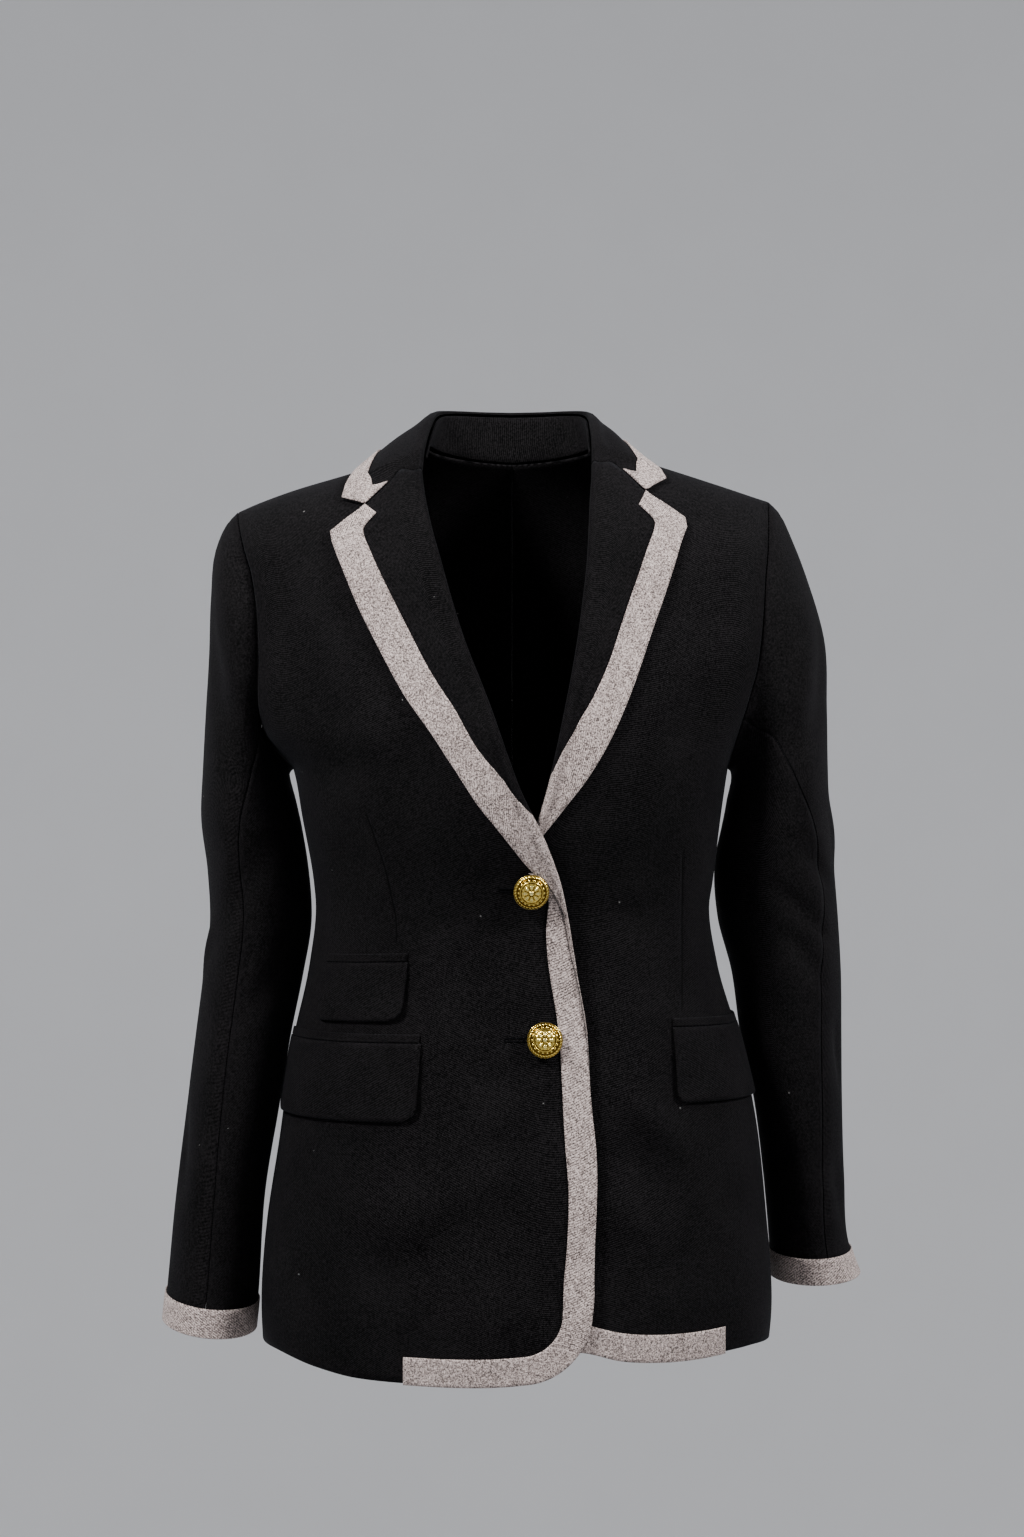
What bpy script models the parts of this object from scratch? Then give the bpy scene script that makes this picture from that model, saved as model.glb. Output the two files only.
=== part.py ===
"""Single-breasted two-button blazer with contrast trim, in its hollow, worn form.

+X is the wearer's left, -Y the front and +Z up. The origin lies between the two side neck
points, where the wearer's neck and shoulders carry the jacket. Tables and lengths are in
millimetres; `MM` turns them into metres when a mesh is made. "right" and "left" are the
wearer's, so the right side is at -X. The right front closes over the left one.
"""
import math

import bpy
import numpy as np
from mathutils import Vector
from mathutils.bvhtree import BVHTree

MM = 0.001

# ---------------------------------------------------------------- driving sizes
HEM_Z = -648.0            # height of the hem
UNDERARM_Z = -234.5       # height of the underarm point, where side seam and armhole meet
NECK_X = 62.0             # side neck point
RIDGE_Y = 4.0             # the shoulder seam lies this far behind the origin
CLOTH = 2.0               # wall of the wool cloth
LAPEL_CLOTH = 1.6         # wall of the lapels and the collar
TRIM_CLOTH = 1.0          # wall of the contrast trim
TRIM_WIDTH = 19.0         # width of the contrast trim
SEAM = 0.3                # gap between neighbouring pieces
LAYER_GAP = 0.4           # gap between a piece and the panel that it lies on


# ---------------------------------------------------------------- tables
def smooth(knots, values, at):
    """Monotone cubic through the knots, held level beyond both ends."""
    knots = np.asarray(knots, float)
    values = np.asarray(values, float)
    at = np.clip(np.asarray(at, float), knots[0], knots[-1])
    if len(knots) == 1:
        return np.full_like(at, values[0])
    step = np.diff(knots)
    rise = np.diff(values) / step
    slope = np.zeros(len(knots))
    slope[0], slope[-1] = rise[0], rise[-1]
    for k in range(1, len(knots) - 1):
        if rise[k - 1] * rise[k] > 0:
            slope[k] = 2 * rise[k - 1] * rise[k] / (rise[k - 1] + rise[k])
    i = np.clip(np.searchsorted(knots, at) - 1, 0, len(knots) - 2)
    t = (at - knots[i]) / step[i]
    return ((2 * t**3 - 3 * t**2 + 1) * values[i] + (t**3 - 2 * t**2 + t) * step[i] * slope[i]
            + (3 * t**2 - 2 * t**3) * values[i + 1] + (t**3 - t**2) * step[i] * slope[i + 1])


class Table:
    """A short table with named columns, read through its first column."""

    def __init__(self, names, rows):
        self.names = names.split()
        self.rows = np.array(sorted(rows), float)

    def column(self, name):
        return self.rows[:, self.names.index(name)]

    def read(self, name, at):
        return smooth(self.rows[:, 0], self.column(name), at)


# Torso sections. right, left: half widths at the seam between front and back (side seam up to
# the underarm, armhole above it). front, back: depths at the middle. seam_f, seam_b: how far
# before and behind the side line that seam lies. round_f, round_b: superellipse powers.
TORSO = Table("z right left front back seam_f seam_b round_f round_b", [
    (0, 206, 191, 82, 98, 26, 34, 2.4, 2.5),
    (-47, 200, 186, 87, 100, 34, 44, 2.4, 2.5),
    (-75, 192.7, 183.3, 92, 101, 42, 52, 2.4, 2.5),
    (-100, 184.5, 180, 98, 102, 48, 58, 2.4, 2.5),
    (-131, 179.8, 177.3, 106, 103, 55, 62, 2.4, 2.5),
    (-160, 178.7, 173.8, 114, 103, 57, 62, 2.4, 2.5),
    (-187, 179.5, 167, 121, 102, 54, 56, 2.4, 2.5),
    (-207, 177, 161.5, 125, 99, 45, 46, 2.4, 2.5),
    (-223, 167, 158, 126, 96, 31, 32, 2.4, 2.5), (-231, 161, 157, 126, 95, 16, 17, 2.4, 2.5),
    (UNDERARM_Z, 158.6, 156.4, 126, 94, 0, 0, 2.4, 2.5),
    (-270, 152, 151.3, 122, 89, 0, 0, 2.4, 2.5),
    (-316, 144, 145.8, 110, 82, 0, 0, 2.4, 2.5),
    (-335, 142.5, 143.2, 107, 80, 0, 0, 2.4, 2.5),
    (-375, 147, 149, 106, 84, 0, 0, 2.4, 2.5),
    (-436, 160, 166.6, 112, 98, 0, 0, 2.4, 2.5),
    (-499, 168.4, 178.7, 119, 109, 0, 0, 2.4, 2.5),
    (-563, 178, 185, 125, 116, 0, 0, 2.4, 2.5),
    (-610, 182, 189, 129, 119, 0, 0, 2.4, 2.5),
    (HEM_Z, 180.5, 186, 129, 119, 0, 0, 2.4, 2.5),
])

# Shoulder line from the neck (virtual inside NECK_X) to the shoulder points.
SHOULDER = Table("x right left front_roll back_roll", [
    (0, 19.5, 19.5, 110, 125), (NECK_X, 0, 0, 105, 118), (114, -18, -16, 96, 106),
    (158, -31, -30, 88, 96), (186, -41, -39, 82, 88), (200, -47, -43, 80, 86),
])


def side_value(table, right, left, x, at):
    """Read column `right` where x < 0 and column `left` elsewhere."""
    return np.where(np.asarray(x) < 0, table.read(right, at), table.read(left, at))


def ridge(x):
    """Height of the shoulder line above or below the side neck point, at x."""
    return side_value(SHOULDER, "right", "left", x, np.abs(x))


def half_width(x, z, face):
    """Half width of the superellipse whose curve passes through the seam at this height."""
    reach = side_value(TORSO, "right", "left", x, z)
    power = TORSO.read("round_f" if face < 0 else "round_b", z)
    depth = TORSO.read("front" if face < 0 else "back", z)
    seam = TORSO.read("seam_f" if face < 0 else "seam_b", z)
    return reach / (1 - (seam / depth) ** power) ** (1 / power)


def smoothstep(low, high, value):
    t = np.clip((np.asarray(value, float) - low) / (high - low), 0, 1)
    return t * t * (3 - 2 * t)


# Soft folds of the worn front: a trough runs from (x0, z0) to (x1, z1).
FOLDS = Table("x0 z0 x1 z1 width depth", [
    (-40, -395, -66, -500, 16, 2.2), (-12, -440, -40, -560, 18, 2.0),
    (-60, -560, -5, -520, 20, 1.6), (70, -470, 120, -560, 22, 1.8),
    (-120, -250, -100, -330, 16, 1.4), (112, -262, 92, -330, 15, 1.4),
])


def folds(x, z):
    """Depth of the soft folds at a place on the front."""
    total = np.zeros(np.broadcast(x, z).shape)
    for x0, z0, x1, z1, width, depth in FOLDS.rows:
        length = math.hypot(x1 - x0, z1 - z0)
        along = ((x - x0) * (x1 - x0) + (z - z0) * (z1 - z0)) / length
        across = ((x - x0) * (z1 - z0) - (z - z0) * (x1 - x0)) / length
        fade = np.sin(math.pi * np.clip(along / length, 0, 1)) ** 2
        total = total + depth * fade * np.exp(-(across / width) ** 2)
    return total


def depth_at(x, z, face):
    """y of the front (face -1) or back (face +1) at (x, z)."""
    x, z = np.broadcast_arrays(np.asarray(x, float), np.asarray(z, float))
    power = TORSO.read("round_f" if face < 0 else "round_b", z)
    depth = TORSO.read("front" if face < 0 else "back", z)
    across = np.clip(np.abs(x) / half_width(x, z, face), 0, 1)
    y = face * depth * (1 - across ** power) ** (1 / power)
    if face < 0:
        y = y + folds(x, z)
    roll = SHOULDER.read("front_roll" if face < 0 else "back_roll", np.abs(x))
    drop = np.clip((ridge(x) - z) / roll, 0, 1)
    return RIDGE_Y + (y - RIDGE_Y) * np.sqrt(1 - (1 - drop) ** 2)


# ---------------------------------------------------------------- places on the torso
def place(x, z, face, height=0.0):
    """Points at (x, z) of the front or back skin, moved out by `height` along its normal."""
    x, z = np.broadcast_arrays(np.asarray(x, float), np.asarray(z, float))
    step = 1e-3
    roll = SHOULDER.read("front_roll" if face < 0 else "back_roll", np.abs(x))
    fall = np.maximum((ridge(x) - z) / roll, 0)
    here = half_width(x, z, face)
    angle = np.arcsin(np.clip(x / here, -1, 1))
    along = smoothstep(1.3, 1.0, fall)

    def beside(turn):
        x_near = here * np.sin(np.clip(angle + turn, -math.pi / 2, math.pi / 2))
        z_near = z + (ridge(x_near) - ridge(x)) * along
        return np.stack([x_near, depth_at(x_near, z_near, face), z_near], -1)

    def above(rise):
        root = np.maximum(np.sqrt(fall) + rise, 0)
        z_near = ridge(x) - roll * root ** 2
        x_near = x * half_width(x, z_near, face) / here
        return np.stack([x_near, depth_at(x_near, z_near, face), z_near], -1)

    normal = np.cross(beside(step) - beside(-step), above(step) - above(-step))
    normal /= np.linalg.norm(normal, axis=-1, keepdims=True)
    point = np.stack([x, depth_at(x, z, face), z], -1)
    outward = point - np.stack([0 * x, 0 * x, z - 30], -1)
    normal *= np.sign(np.sum(normal * outward, -1, keepdims=True))
    return point + normal * np.asarray(height, float)[..., None]


# Front opening: the edge below each break and the roll line above it.
OPENING = Table("z right left", [
    (0, -62, 56), (-17, -63.8, 56.6), (-47, -59.8, 54.3), (-65, -55.9, 53.2), (-101, -45.8, 50.6),
    (-133, -36.7, 46.2), (-160, -27.5, 42.2), (-191, -15, 36), (-222, -4, 29.8), (-255, 8.9, 21.8),
    (-277, 20.2, 14.5), (-301, 29.6, 3.5), (-314, 33.4, -1), (-340, 38.4, -5), (-379, 44.3, -6),
    (-415, 50.3, -6), (-459, 52.8, -6), (-515, 57, -6), (-580, 53.7, -6), (-648, 53.5, -6),
])
BREAK_Z = {"right": -340.0, "left": -314.0}
CORNER = {  # rounded front corner: centre and radius
    "right": (4.5, -598.0, 49.0),
    "left": (49.0, -572.0, 55.0),
}
HEM = Table("x z", [
    (-186, -646), (-165, -642), (-137, -645.5), (-104, -649), (-74, -649.5), (4.5, -647.5),
    (30, -638), (49, -627.5), (66, -632), (86, -635.2), (117, -637), (146, -636.5), (166, -637.5),
    (180, -641), (189, -646),
])
SIGN = {"right": -1, "left": 1}
FORWARD = np.array([0.0, -1.0, 0.0])


def lift(x, z, side):
    """The closed right front lies on the left one, and further out where the lapels cross."""
    if side == "left":
        return np.zeros(np.broadcast(x, z).shape)
    crossing = 4.6 + 3.4 * smoothstep(-350, -285, z)
    return crossing * smoothstep(-78, -14, x)


def on_front(x, z, side, height):
    """A place on a front panel, moved out from that panel's outer face."""
    return place(x, z, -1, lift(x, z, side) + height)


# ---------------------------------------------------------------- solids
WALLS = {}                # the walls made so far, for those that lie on them
REACH = 12.0              # how far above a wall the search for it starts
# Shares of a triangle's three corners at the places where its height is looked at.
SPREAD = np.array([(a, b, 7 - a - b) for a in range(8) for b in range(8 - a)]) / 7


def grid_normals(points, loop=False):
    """Unit normals of a grid of points, pointing to the left of its columns' run."""
    along = np.gradient(points, axis=0)
    if loop:
        across = np.roll(points, -1, 1) - np.roll(points, 1, 1)
    else:
        across = np.gradient(points, axis=1)
    normal = np.cross(along, across)
    return normal / np.linalg.norm(normal, axis=-1, keepdims=True)


def solid(name, outer, inner, material, cells=None, loop=False):
    """Closed wall between two grids of points, over all their cells or those given."""
    rows, cols = outer.shape[:2]
    if cells is None:
        cells = np.ones((rows - 1, cols if loop else cols - 1), bool)
    layer = rows * cols
    quads = [((r, c), (r, (c + 1) % cols), (r + 1, (c + 1) % cols), (r + 1, c))
             for r, c in zip(*np.nonzero(cells))]
    edges = {(q[k], q[(k + 1) % 4]) for q in quads for k in range(4)}
    faces = []
    for q in quads:
        ring = [r * cols + c for r, c in q]
        faces.append(ring)
        faces.append([layer + ring[k] for k in (0, 3, 2, 1)])
    for start, end in sorted(edges):
        if (end, start) not in edges:
            a, b = start[0] * cols + start[1], end[0] * cols + end[1]
            faces.append([b, a, layer + a, layer + b])
    points = np.concatenate([outer.reshape(-1, 3), inner.reshape(-1, 3)]) * MM
    used = sorted({v for face in faces for v in face})
    index = {v: k for k, v in enumerate(used)}
    mesh = bpy.data.meshes.new(name)
    mesh.from_pydata([tuple(points[v]) for v in used], [],
                     [[index[v] for v in face] for face in faces])
    volume = sum(np.dot(points[f[0]], np.cross(points[f[k]], points[f[k + 1]]))
                 for f in faces for k in range(1, len(f) - 1))
    if volume < 0:
        mesh.flip_normals()
    halves = [(f[0], f[k], f[k + 1]) for f in faces for k in (1, 2)]
    WALLS[name] = BVHTree.FromPolygons([tuple(point / MM) for point in points], halves)
    return add_object(name, mesh, material)


def clear(outer, inner, under, cells=None, along=None, loop=False):
    """Move both layers outwards until the inner one clears the walls that it lies on."""
    trees = [WALLS[name] for name in under]
    rows, cols = inner.shape[:2]
    if cells is None:
        cells = np.ones((rows - 1, cols if loop else cols - 1), bool)
    ahead = outer - inner if along is None else np.zeros(inner.shape) + along
    ahead = ahead / np.linalg.norm(ahead, axis=-1, keepdims=True)
    for _ in range(4):
        need = np.zeros((rows, cols))
        for r, c in zip(*np.nonzero(cells)):
            ring = ([r, r, r + 1, r + 1], [c, (c + 1) % cols, (c + 1) % cols, c])
            short = shortfall(inner[ring], ahead[ring], trees)
            need[ring] = np.maximum(need[ring], short)
        outer = outer + ahead * need[..., None]
        inner = inner + ahead * need[..., None]
    return outer, inner


def shortfall(corners, ahead, trees):
    """How far a cell must rise to stand clear of the walls under it."""
    most = 0.0
    for half in ((0, 1, 2), (0, 2, 3)):
        spots = SPREAD @ corners[list(half)]
        outs = SPREAD @ ahead[list(half)]
        for spot, out in zip(spots, outs):
            out = Vector(out)
            for tree in trees:
                hit = tree.ray_cast(Vector(spot) + out * REACH, -out, 2 * REACH)
                if hit[0] is not None:
                    most = max(most, LAYER_GAP + REACH - hit[3])
    return most


def add_object(name, mesh, material):
    mesh.materials.append(material)
    piece = bpy.data.objects.new(name, mesh)
    bpy.data.collections["single_breasted_blazer"].objects.link(piece)
    mesh.shade_smooth()
    mesh.set_sharp_from_angle(angle=math.radians(40))
    return piece


def pull(grids, row=None, col=None, by=SEAM / 2):
    """Draw one edge row or column of each grid squarely back from its seam."""
    for grid in grids:
        view = grid if row is not None else grid.transpose(1, 0, 2)
        edge = row if row is not None else col
        inside = 1 if edge == 0 else -2
        seam = np.gradient(view[edge], axis=0)
        seam /= np.linalg.norm(seam, axis=-1, keepdims=True)
        step = view[inside] - view[edge]
        step -= np.sum(step * seam, -1, keepdims=True) * seam
        view[edge] += step / np.linalg.norm(step, axis=-1, keepdims=True) * by


# ---------------------------------------------------------------- torso panels
LOWER_ROWS = (-560, -520, -480, -440, -405, -372, -345, -325, -307, -290, -270, -250)
# Upper rows run from the underarm (0) over the chest (1) to the shoulder seam (2).
UPPER_ROWS = (0, 0.06, 0.16, 0.3, 0.5, 0.75, 1, 1.25, 1.5, 1.75, 2)
BACK_NECK_Z = -4.0


def upper_z(x, level, face):
    """Height of an upper row at x."""
    roll = SHOULDER.read("front_roll" if face < 0 else "back_roll", np.abs(x))
    top = np.where((np.abs(x) < NECK_X) & (face > 0),
                   BACK_NECK_Z * (1 - (np.abs(x) / NECK_X) ** 2), ridge(x))
    turn_end = np.arccos(np.clip(1 - (ridge(x) - top) / roll, -1, 1))
    if level <= 1:
        return UNDERARM_Z + (ridge(x) - roll - UNDERARM_Z) * level
    turn = math.pi / 2 + (turn_end - math.pi / 2) * (level - 1)
    return ridge(x) - roll * (1 - np.cos(turn))


def settle(x_of, level, face, x):
    """x and z of an upper row on a line x = x_of(z), found by repeated substitution."""
    for _ in range(30):
        z = upper_z(x, level, face)
        x = 0.5 * x + 0.5 * x_of(z)
    return x, upper_z(x, level, face)


SHOULDER_X = {"right": 200.0, "left": 186.0}


def armhole_x(z, side):
    return SIGN[side] * TORSO.read(side, z)


def armhole_point(side, level, face):
    """(x, z) where an upper row meets the armhole."""
    if level >= 2:
        x = SIGN[side] * SHOULDER_X[side]
        return x, float(ridge(x))
    x, z = settle(lambda h: armhole_x(h, side), level, face, SIGN[side] * SHOULDER_X[side])
    return float(x), float(z)


def panel_inner_x(z, side):
    """Inner edge of a front panel: set back under the trim, and further under the lapel."""
    setback = 0.8 + 2.6 * smoothstep(BREAK_Z[side] - 6, BREAK_Z[side] + 8, z)
    return OPENING.read(side, z) + SIGN[side] * setback


def row_x(x_in, x_out, z, face, shares):
    """x along a row, evenly turned round the section from x_in to x_out."""
    start = math.asin(np.clip(x_in / float(half_width(x_in, z, face)), -1, 1))
    end = math.asin(np.clip(x_out / float(half_width(x_out, z, face)), -1, 1))
    turn = start + (end - start) * shares
    return half_width(np.sin(turn), z, face) * np.sin(turn)


def front_grid(side):
    """(x, z) of the rows and columns of a front panel, from the hem to the shoulder seam."""
    centre_x, centre_z, radius = CORNER[side]
    sign = SIGN[side]
    level_z = LOWER_ROWS[0]
    arc = np.radians([0, 22.5, 45, 67.5, 90])
    corner_x = centre_x - sign * (radius - 0.8) * np.cos(arc)
    width = half_width(corner_x, level_z, -1)
    start = np.arcsin(corner_x / width)
    shares = np.abs(start - start[0]) / abs(sign * math.pi / 2 - start[0])
    shares = np.concatenate([shares, np.linspace(shares[-1], 1, 9)[1:]])
    rows = []
    side_x = sign * float(TORSO.read(side, level_z))
    top = row_x(corner_x[0], side_x, level_z, -1, shares)
    turn = np.arcsin(np.clip(top / half_width(top, level_z, -1), -1, 1))
    hem_x = top.copy()
    for _ in range(5):
        hem_x = half_width(top, HEM.read("z", hem_x) + 0.8, -1) * np.sin(turn)
    hem_x[:5] = corner_x
    hem_z = HEM.read("z", hem_x) + 0.8
    hem_z[:5] = centre_z - (radius - 0.8) * np.sin(arc)
    hem_x[-1] = armhole_x(hem_z[-1], side)
    rows.append((hem_x, hem_z))
    middle_z = (hem_z + level_z) / 2
    middle_x = half_width(top, middle_z, -1) * np.sin(turn)
    middle_x[:5] = ((hem_x + top) / 2)[:5]
    middle_x[-1] = armhole_x(middle_z[-1], side)
    rows.append((middle_x, middle_z))
    for z in LOWER_ROWS:
        x = row_x(float(panel_inner_x(z, side)), float(armhole_x(z, side)), z, -1, shares)
        rows.append((x, np.full_like(x, z)))
    for level in UPPER_ROWS:
        x_in, z_in = settle(lambda h: panel_inner_x(h, side), level, -1, sign * NECK_X)
        if level >= 2:
            x_in = sign * (NECK_X + 2.0)
        x_out, z_out = armhole_point(side, level, -1)
        x = np.linspace(float(x_in), x_out, len(shares))
        for _ in range(12):
            z = upper_z(x, level, -1)
            turn_in = math.asin(x_in / float(half_width(x_in, z[0], -1)))
            turn_out = math.asin(np.clip(x_out / float(half_width(x_out, z_out, -1)), -1, 1))
            turn = turn_in + (turn_out - turn_in) * shares
            x = half_width(np.sin(turn), z, -1) * np.sin(turn)
            x[0], x[-1] = x_in, x_out
        z = upper_z(x, level, -1)
        z[-1] = z_out
        rows.append((x, z))
    return np.array([x for x, _ in rows]), np.array([z for _, z in rows])


def build_front(side, material):
    x, z = front_grid(side)
    outer = on_front(x, z, side, 0.0)
    inner = on_front(x, z, side, -CLOTH)
    seam = len(LOWER_ROWS) + 3
    for grid in (outer, inner):
        pull([grid[:seam]], col=outer.shape[1] - 1)
        pull([grid], row=outer.shape[0] - 1)
    if side == "right":
        under = [name + "_left" for name in ("front", "front_trim", "lapel", "lapel_trim")]
        outer, inner = clear(outer, inner, under, along=FORWARD)
    solid("front_" + side, outer, inner, material)


def build_back(side, material):
    sign = SIGN[side]
    top_x = np.concatenate([[0, 24, 45], np.linspace(NECK_X, SHOULDER_X[side], 6)])
    top_z = upper_z(top_x, 2, 1)
    turn = np.arcsin(top_x / half_width(sign * top_x, top_z, 1))
    shares = turn / turn[-1]
    rows = []
    hem_z = np.linspace(HEM_Z, float(HEM.read("z", sign * 186.0)) + 0.8, len(shares))
    rows.append((armhole_x(hem_z, side) * np.sin(shares * math.pi / 2), hem_z))
    for z in (-604,) + LOWER_ROWS:
        x = row_x(0.0, float(armhole_x(z, side)), z, 1, shares)
        rows.append((x, np.full_like(x, z)))
    for level in UPPER_ROWS:
        x_out, z_out = armhole_point(side, level, 1)
        x = np.linspace(0.0, x_out, len(shares))
        for _ in range(12):
            z = upper_z(x, level, 1)
            turn_out = math.asin(np.clip(x_out / float(half_width(x_out, z_out, 1)), -1, 1))
            x = half_width(sign * shares, z, 1) * np.sin(turn_out * shares)
            x[-1] = x_out
        if level >= 2:
            x = sign * top_x
        z = upper_z(x, level, 1)
        z[-1] = z_out
        rows.append((x, z))
    x, z = np.array([r[0] for r in rows]), np.array([r[1] for r in rows])
    outer = place(x, z, 1, 0 * x)
    inner = place(x, z, 1, 0 * x - CLOTH)
    seam = len(LOWER_ROWS) + 3
    for grid in (outer, inner):
        grid[:, 0, 0] += sign * SEAM / 2
        pull([grid[:seam]], col=outer.shape[1] - 1)
        pull([grid], row=outer.shape[0] - 1)
    solid("back_" + side, outer, inner, material)


# ---------------------------------------------------------------- sleeves
# A row for each ring of a sleeve: its outermost and innermost points (x away from the middle),
# its front and back, and where the front seam lies (degrees round from the outermost point to
# the front).
SLEEVE = {
    "right": Table("ring outer_x outer_z inner_x inner_z front back seam", [
        (0, 200, -47, 158.6, -234.5, -57, 62, 137), (1, 208.5, -56, 161, -235.8, -60, 66, 130),
        (2, 216, -74, 162.5, -238, -62, 68, 122), (3, 219.2, -107, 163, -241, -62, 69, 115),
        (4, 220.5, -150, 162.5, -245, -62, 69, 108), (5, 223, -195, 161, -250.5, -62, 68, 102),
        (6, 225, -232, 158.5, -259, -61, 67, 97), (7, 226.5, -268, 154.5, -276, -60, 65, 89),
        (8, 222, -308, 149, -310, -56, 62, 79), (9, 220.3, -347, 147, -347, -54, 59, 80),
        (10, 225, -385, 153, -385, -54, 57, 82), (11, 230.5, -430, 162, -430, -55, 54, 84),
        (12, 237, -485, 170.5, -484, -56, 49, 87), (13, 244, -548, 180, -545, -57, 41, 93),
        (14, 249.5, -610, 184.5, -619.5, -57, 34, 92), (15, 251.5, -630, 186.5, -640, -58, 33, 91),
    ]),
    "left": Table("ring outer_x outer_z inner_x inner_z front back seam", [
        (0, 186, -41, 156.4, -234.5, -57, 62, 137), (1, 194, -47.5, 159, -235.5, -57, 66, 126),
        (2, 205, -69, 160.5, -238, -57, 69, 116), (3, 217, -100, 161.5, -241, -57, 72, 105),
        (4, 228, -138, 161.5, -245, -56, 74, 95), (5, 230.5, -190, 160.5, -250, -54, 76, 84),
        (6, 231.5, -232, 158.5, -259, -51, 77, 73), (7, 233.5, -270, 155, -278, -47, 78, 58),
        (8, 237, -306, 150, -306, -43, 79, 48), (9, 240.5, -345, 152.5, -345, -38, 79, 50),
        (10, 243, -385, 163, -385, -33, 78, 60), (11, 243.7, -430, 169.5, -430, -28, 77, 64),
        (12, 244.5, -480, 180, -480, -22, 76, 68), (13, 246.5, -535, 187, -533, -16, 75, 73),
        (14, 251.5, -590, 192.5, -591.5, -9, 76, 75), (15, 258.5, -609, 194, -612, -7, 77, 75),
    ]),
}
# How much a ring keeps of the armhole's own outline, and of the spacing of its points.
ARMHOLE_FADE = Table("ring outline turn", [
    (0, 1, 1), (1, 0.75, 0.95), (2, 0.5, 0.85), (3, 0.25, 0.7), (4, 0.08, 0.5), (5, 0, 0.3),
    (6, 0, 0.12), (7, 0, 0),
])
CUFF_RING = 14.0          # the cuff's trim starts at this ring
SEAM_LEVEL = {"front": 0.3, "back": 0.5}   # upper rows where the sleeve seams meet the armhole


def armhole_ring(side):
    """Outer and inner points round the armhole, down its front and up its back.

    Also gives the columns of the front seam and of the back seam.
    """
    spots = [(level, -1) for level in reversed(UPPER_ROWS)]
    spots += [(level, 1) for level in UPPER_ROWS[1:-1]]
    outer, inner, seams = [], [], {}
    for k, (level, face) in enumerate(spots):
        x, z = armhole_point(side, level, face)
        ends = [place(x, z, face, height) for height in (0.0, -CLOTH)]
        if outer and max(level, spots[k - 1][0]) <= SEAM_LEVEL["back"]:
            outer.append((outer[-1] + ends[0]) / 2)
            inner.append((inner[-1] + ends[1]) / 2)
        if level == SEAM_LEVEL["front" if face < 0 else "back"]:
            seams[face] = len(outer)
        outer.append(ends[0])
        inner.append(ends[1])
    return np.array(outer), np.array(inner), seams[-1], seams[1]


def oval(side, ring, turn):
    """Point of a sleeve's ring at `turn` radians from its outermost point."""
    table = SLEEVE[side]
    outer = np.array([table.read("outer_x", ring), table.read("outer_z", ring)])
    inner = np.array([table.read("inner_x", ring), table.read("inner_z", ring)])
    front, back = table.read("front", ring), table.read("back", ring)
    x, z = [(outer[k] + inner[k]) / 2 + (outer[k] - inner[k]) / 2 * np.cos(turn) for k in (0, 1)]
    y = (front + back) / 2 - (back - front) / 2 * np.sin(turn)
    return np.stack([SIGN[side] * x, y, z + 0 * x], -1)


def beside_torso(points, clearance):
    """Keep points of a sleeve outside the torso's skin below the chest."""
    for point in points:
        x, y, z = point
        face, near = (-1, "f") if y < 0 else (1, "b")
        if z > -120 or abs(y) < TORSO.read("seam_" + near, z) - 3:
            continue
        depth = TORSO.read("front" if face < 0 else "back", z)
        power = TORSO.read("round_" + near, z)
        skin = half_width(x, z, face) * (1 - min(abs(y) / depth, 1) ** power) ** (1 / power)
        point[0] = math.copysign(max(abs(x), skin + clearance), x)
    return points


def sleeve_rings(side, rings):
    """Outer grid of a whole sleeve, a row for each ring, and the armhole's inner points."""
    loop, loop_inner, front_seam, back_seam = armhole_ring(side)
    count = len(loop)
    table = SLEEVE[side]
    middle = (oval(side, 0, 0.0) + oval(side, 0, math.pi)) / 2
    reach = oval(side, 0, 0.0) - middle
    depth = (table.read("back", 0) - table.read("front", 0)) / 2
    sine = -(loop[:, 1] - middle[1]) / depth
    cosine = (loop - middle) @ reach / (reach @ reach)
    own_turn = np.unwrap(np.arctan2(sine, cosine))
    own_turn -= 2 * math.pi * round(own_turn[0] / (2 * math.pi))
    rest = loop - oval(side, 0, own_turn)
    grid = []
    for ring in rings:
        seam = math.radians(float(table.read("seam", ring)))
        knots = [0, front_seam, back_seam, count]
        turn = np.interp(np.arange(count), knots, [0, seam, seam + math.pi, 2 * math.pi])
        turn = turn + (own_turn - turn) * float(ARMHOLE_FADE.read("turn", ring))
        outline = rest * float(ARMHOLE_FADE.read("outline", ring))
        grid.append(beside_torso(oval(side, ring, turn) + outline, 1.6))
    grid = np.array(grid)
    start = loop_inner
    if rings[0] == 0:
        grid[0], start = seat_on_armhole(side, loop, loop_inner, grid[1])
    return grid, start, front_seam, back_seam


def seat_on_armhole(side, loop, loop_inner, following):
    """First ring of a sleeve, outer and inner, against the edge of the armhole.

    The sleeve's wall turns with the fold between it and the panel, from edge to edge where they
    run on into each other to face to face where the sleeve folds back under the arm.
    """
    tangent = np.roll(loop, -1, 0) - np.roll(loop, 1, 0)
    tangent /= np.linalg.norm(tangent, axis=-1, keepdims=True)
    outward = loop - loop_inner
    outward /= np.linalg.norm(outward, axis=-1, keepdims=True)
    away = np.cross(tangent, outward)
    away *= np.sign(away[0, 0]) * SIGN[side] / np.linalg.norm(away, axis=-1, keepdims=True)
    run = following - loop
    fold = np.arctan2(np.sum(run * outward, -1), np.sum(run * away, -1))
    fold = np.clip(fold, 0, math.pi)[:, None]
    gap = (SEAM + 0.1) * (away * np.cos(fold / 2) + outward * np.sin(fold / 2))
    wall = CLOTH * (away * np.sin(fold) - outward * np.cos(fold))
    return loop + gap, loop + gap + wall


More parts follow.
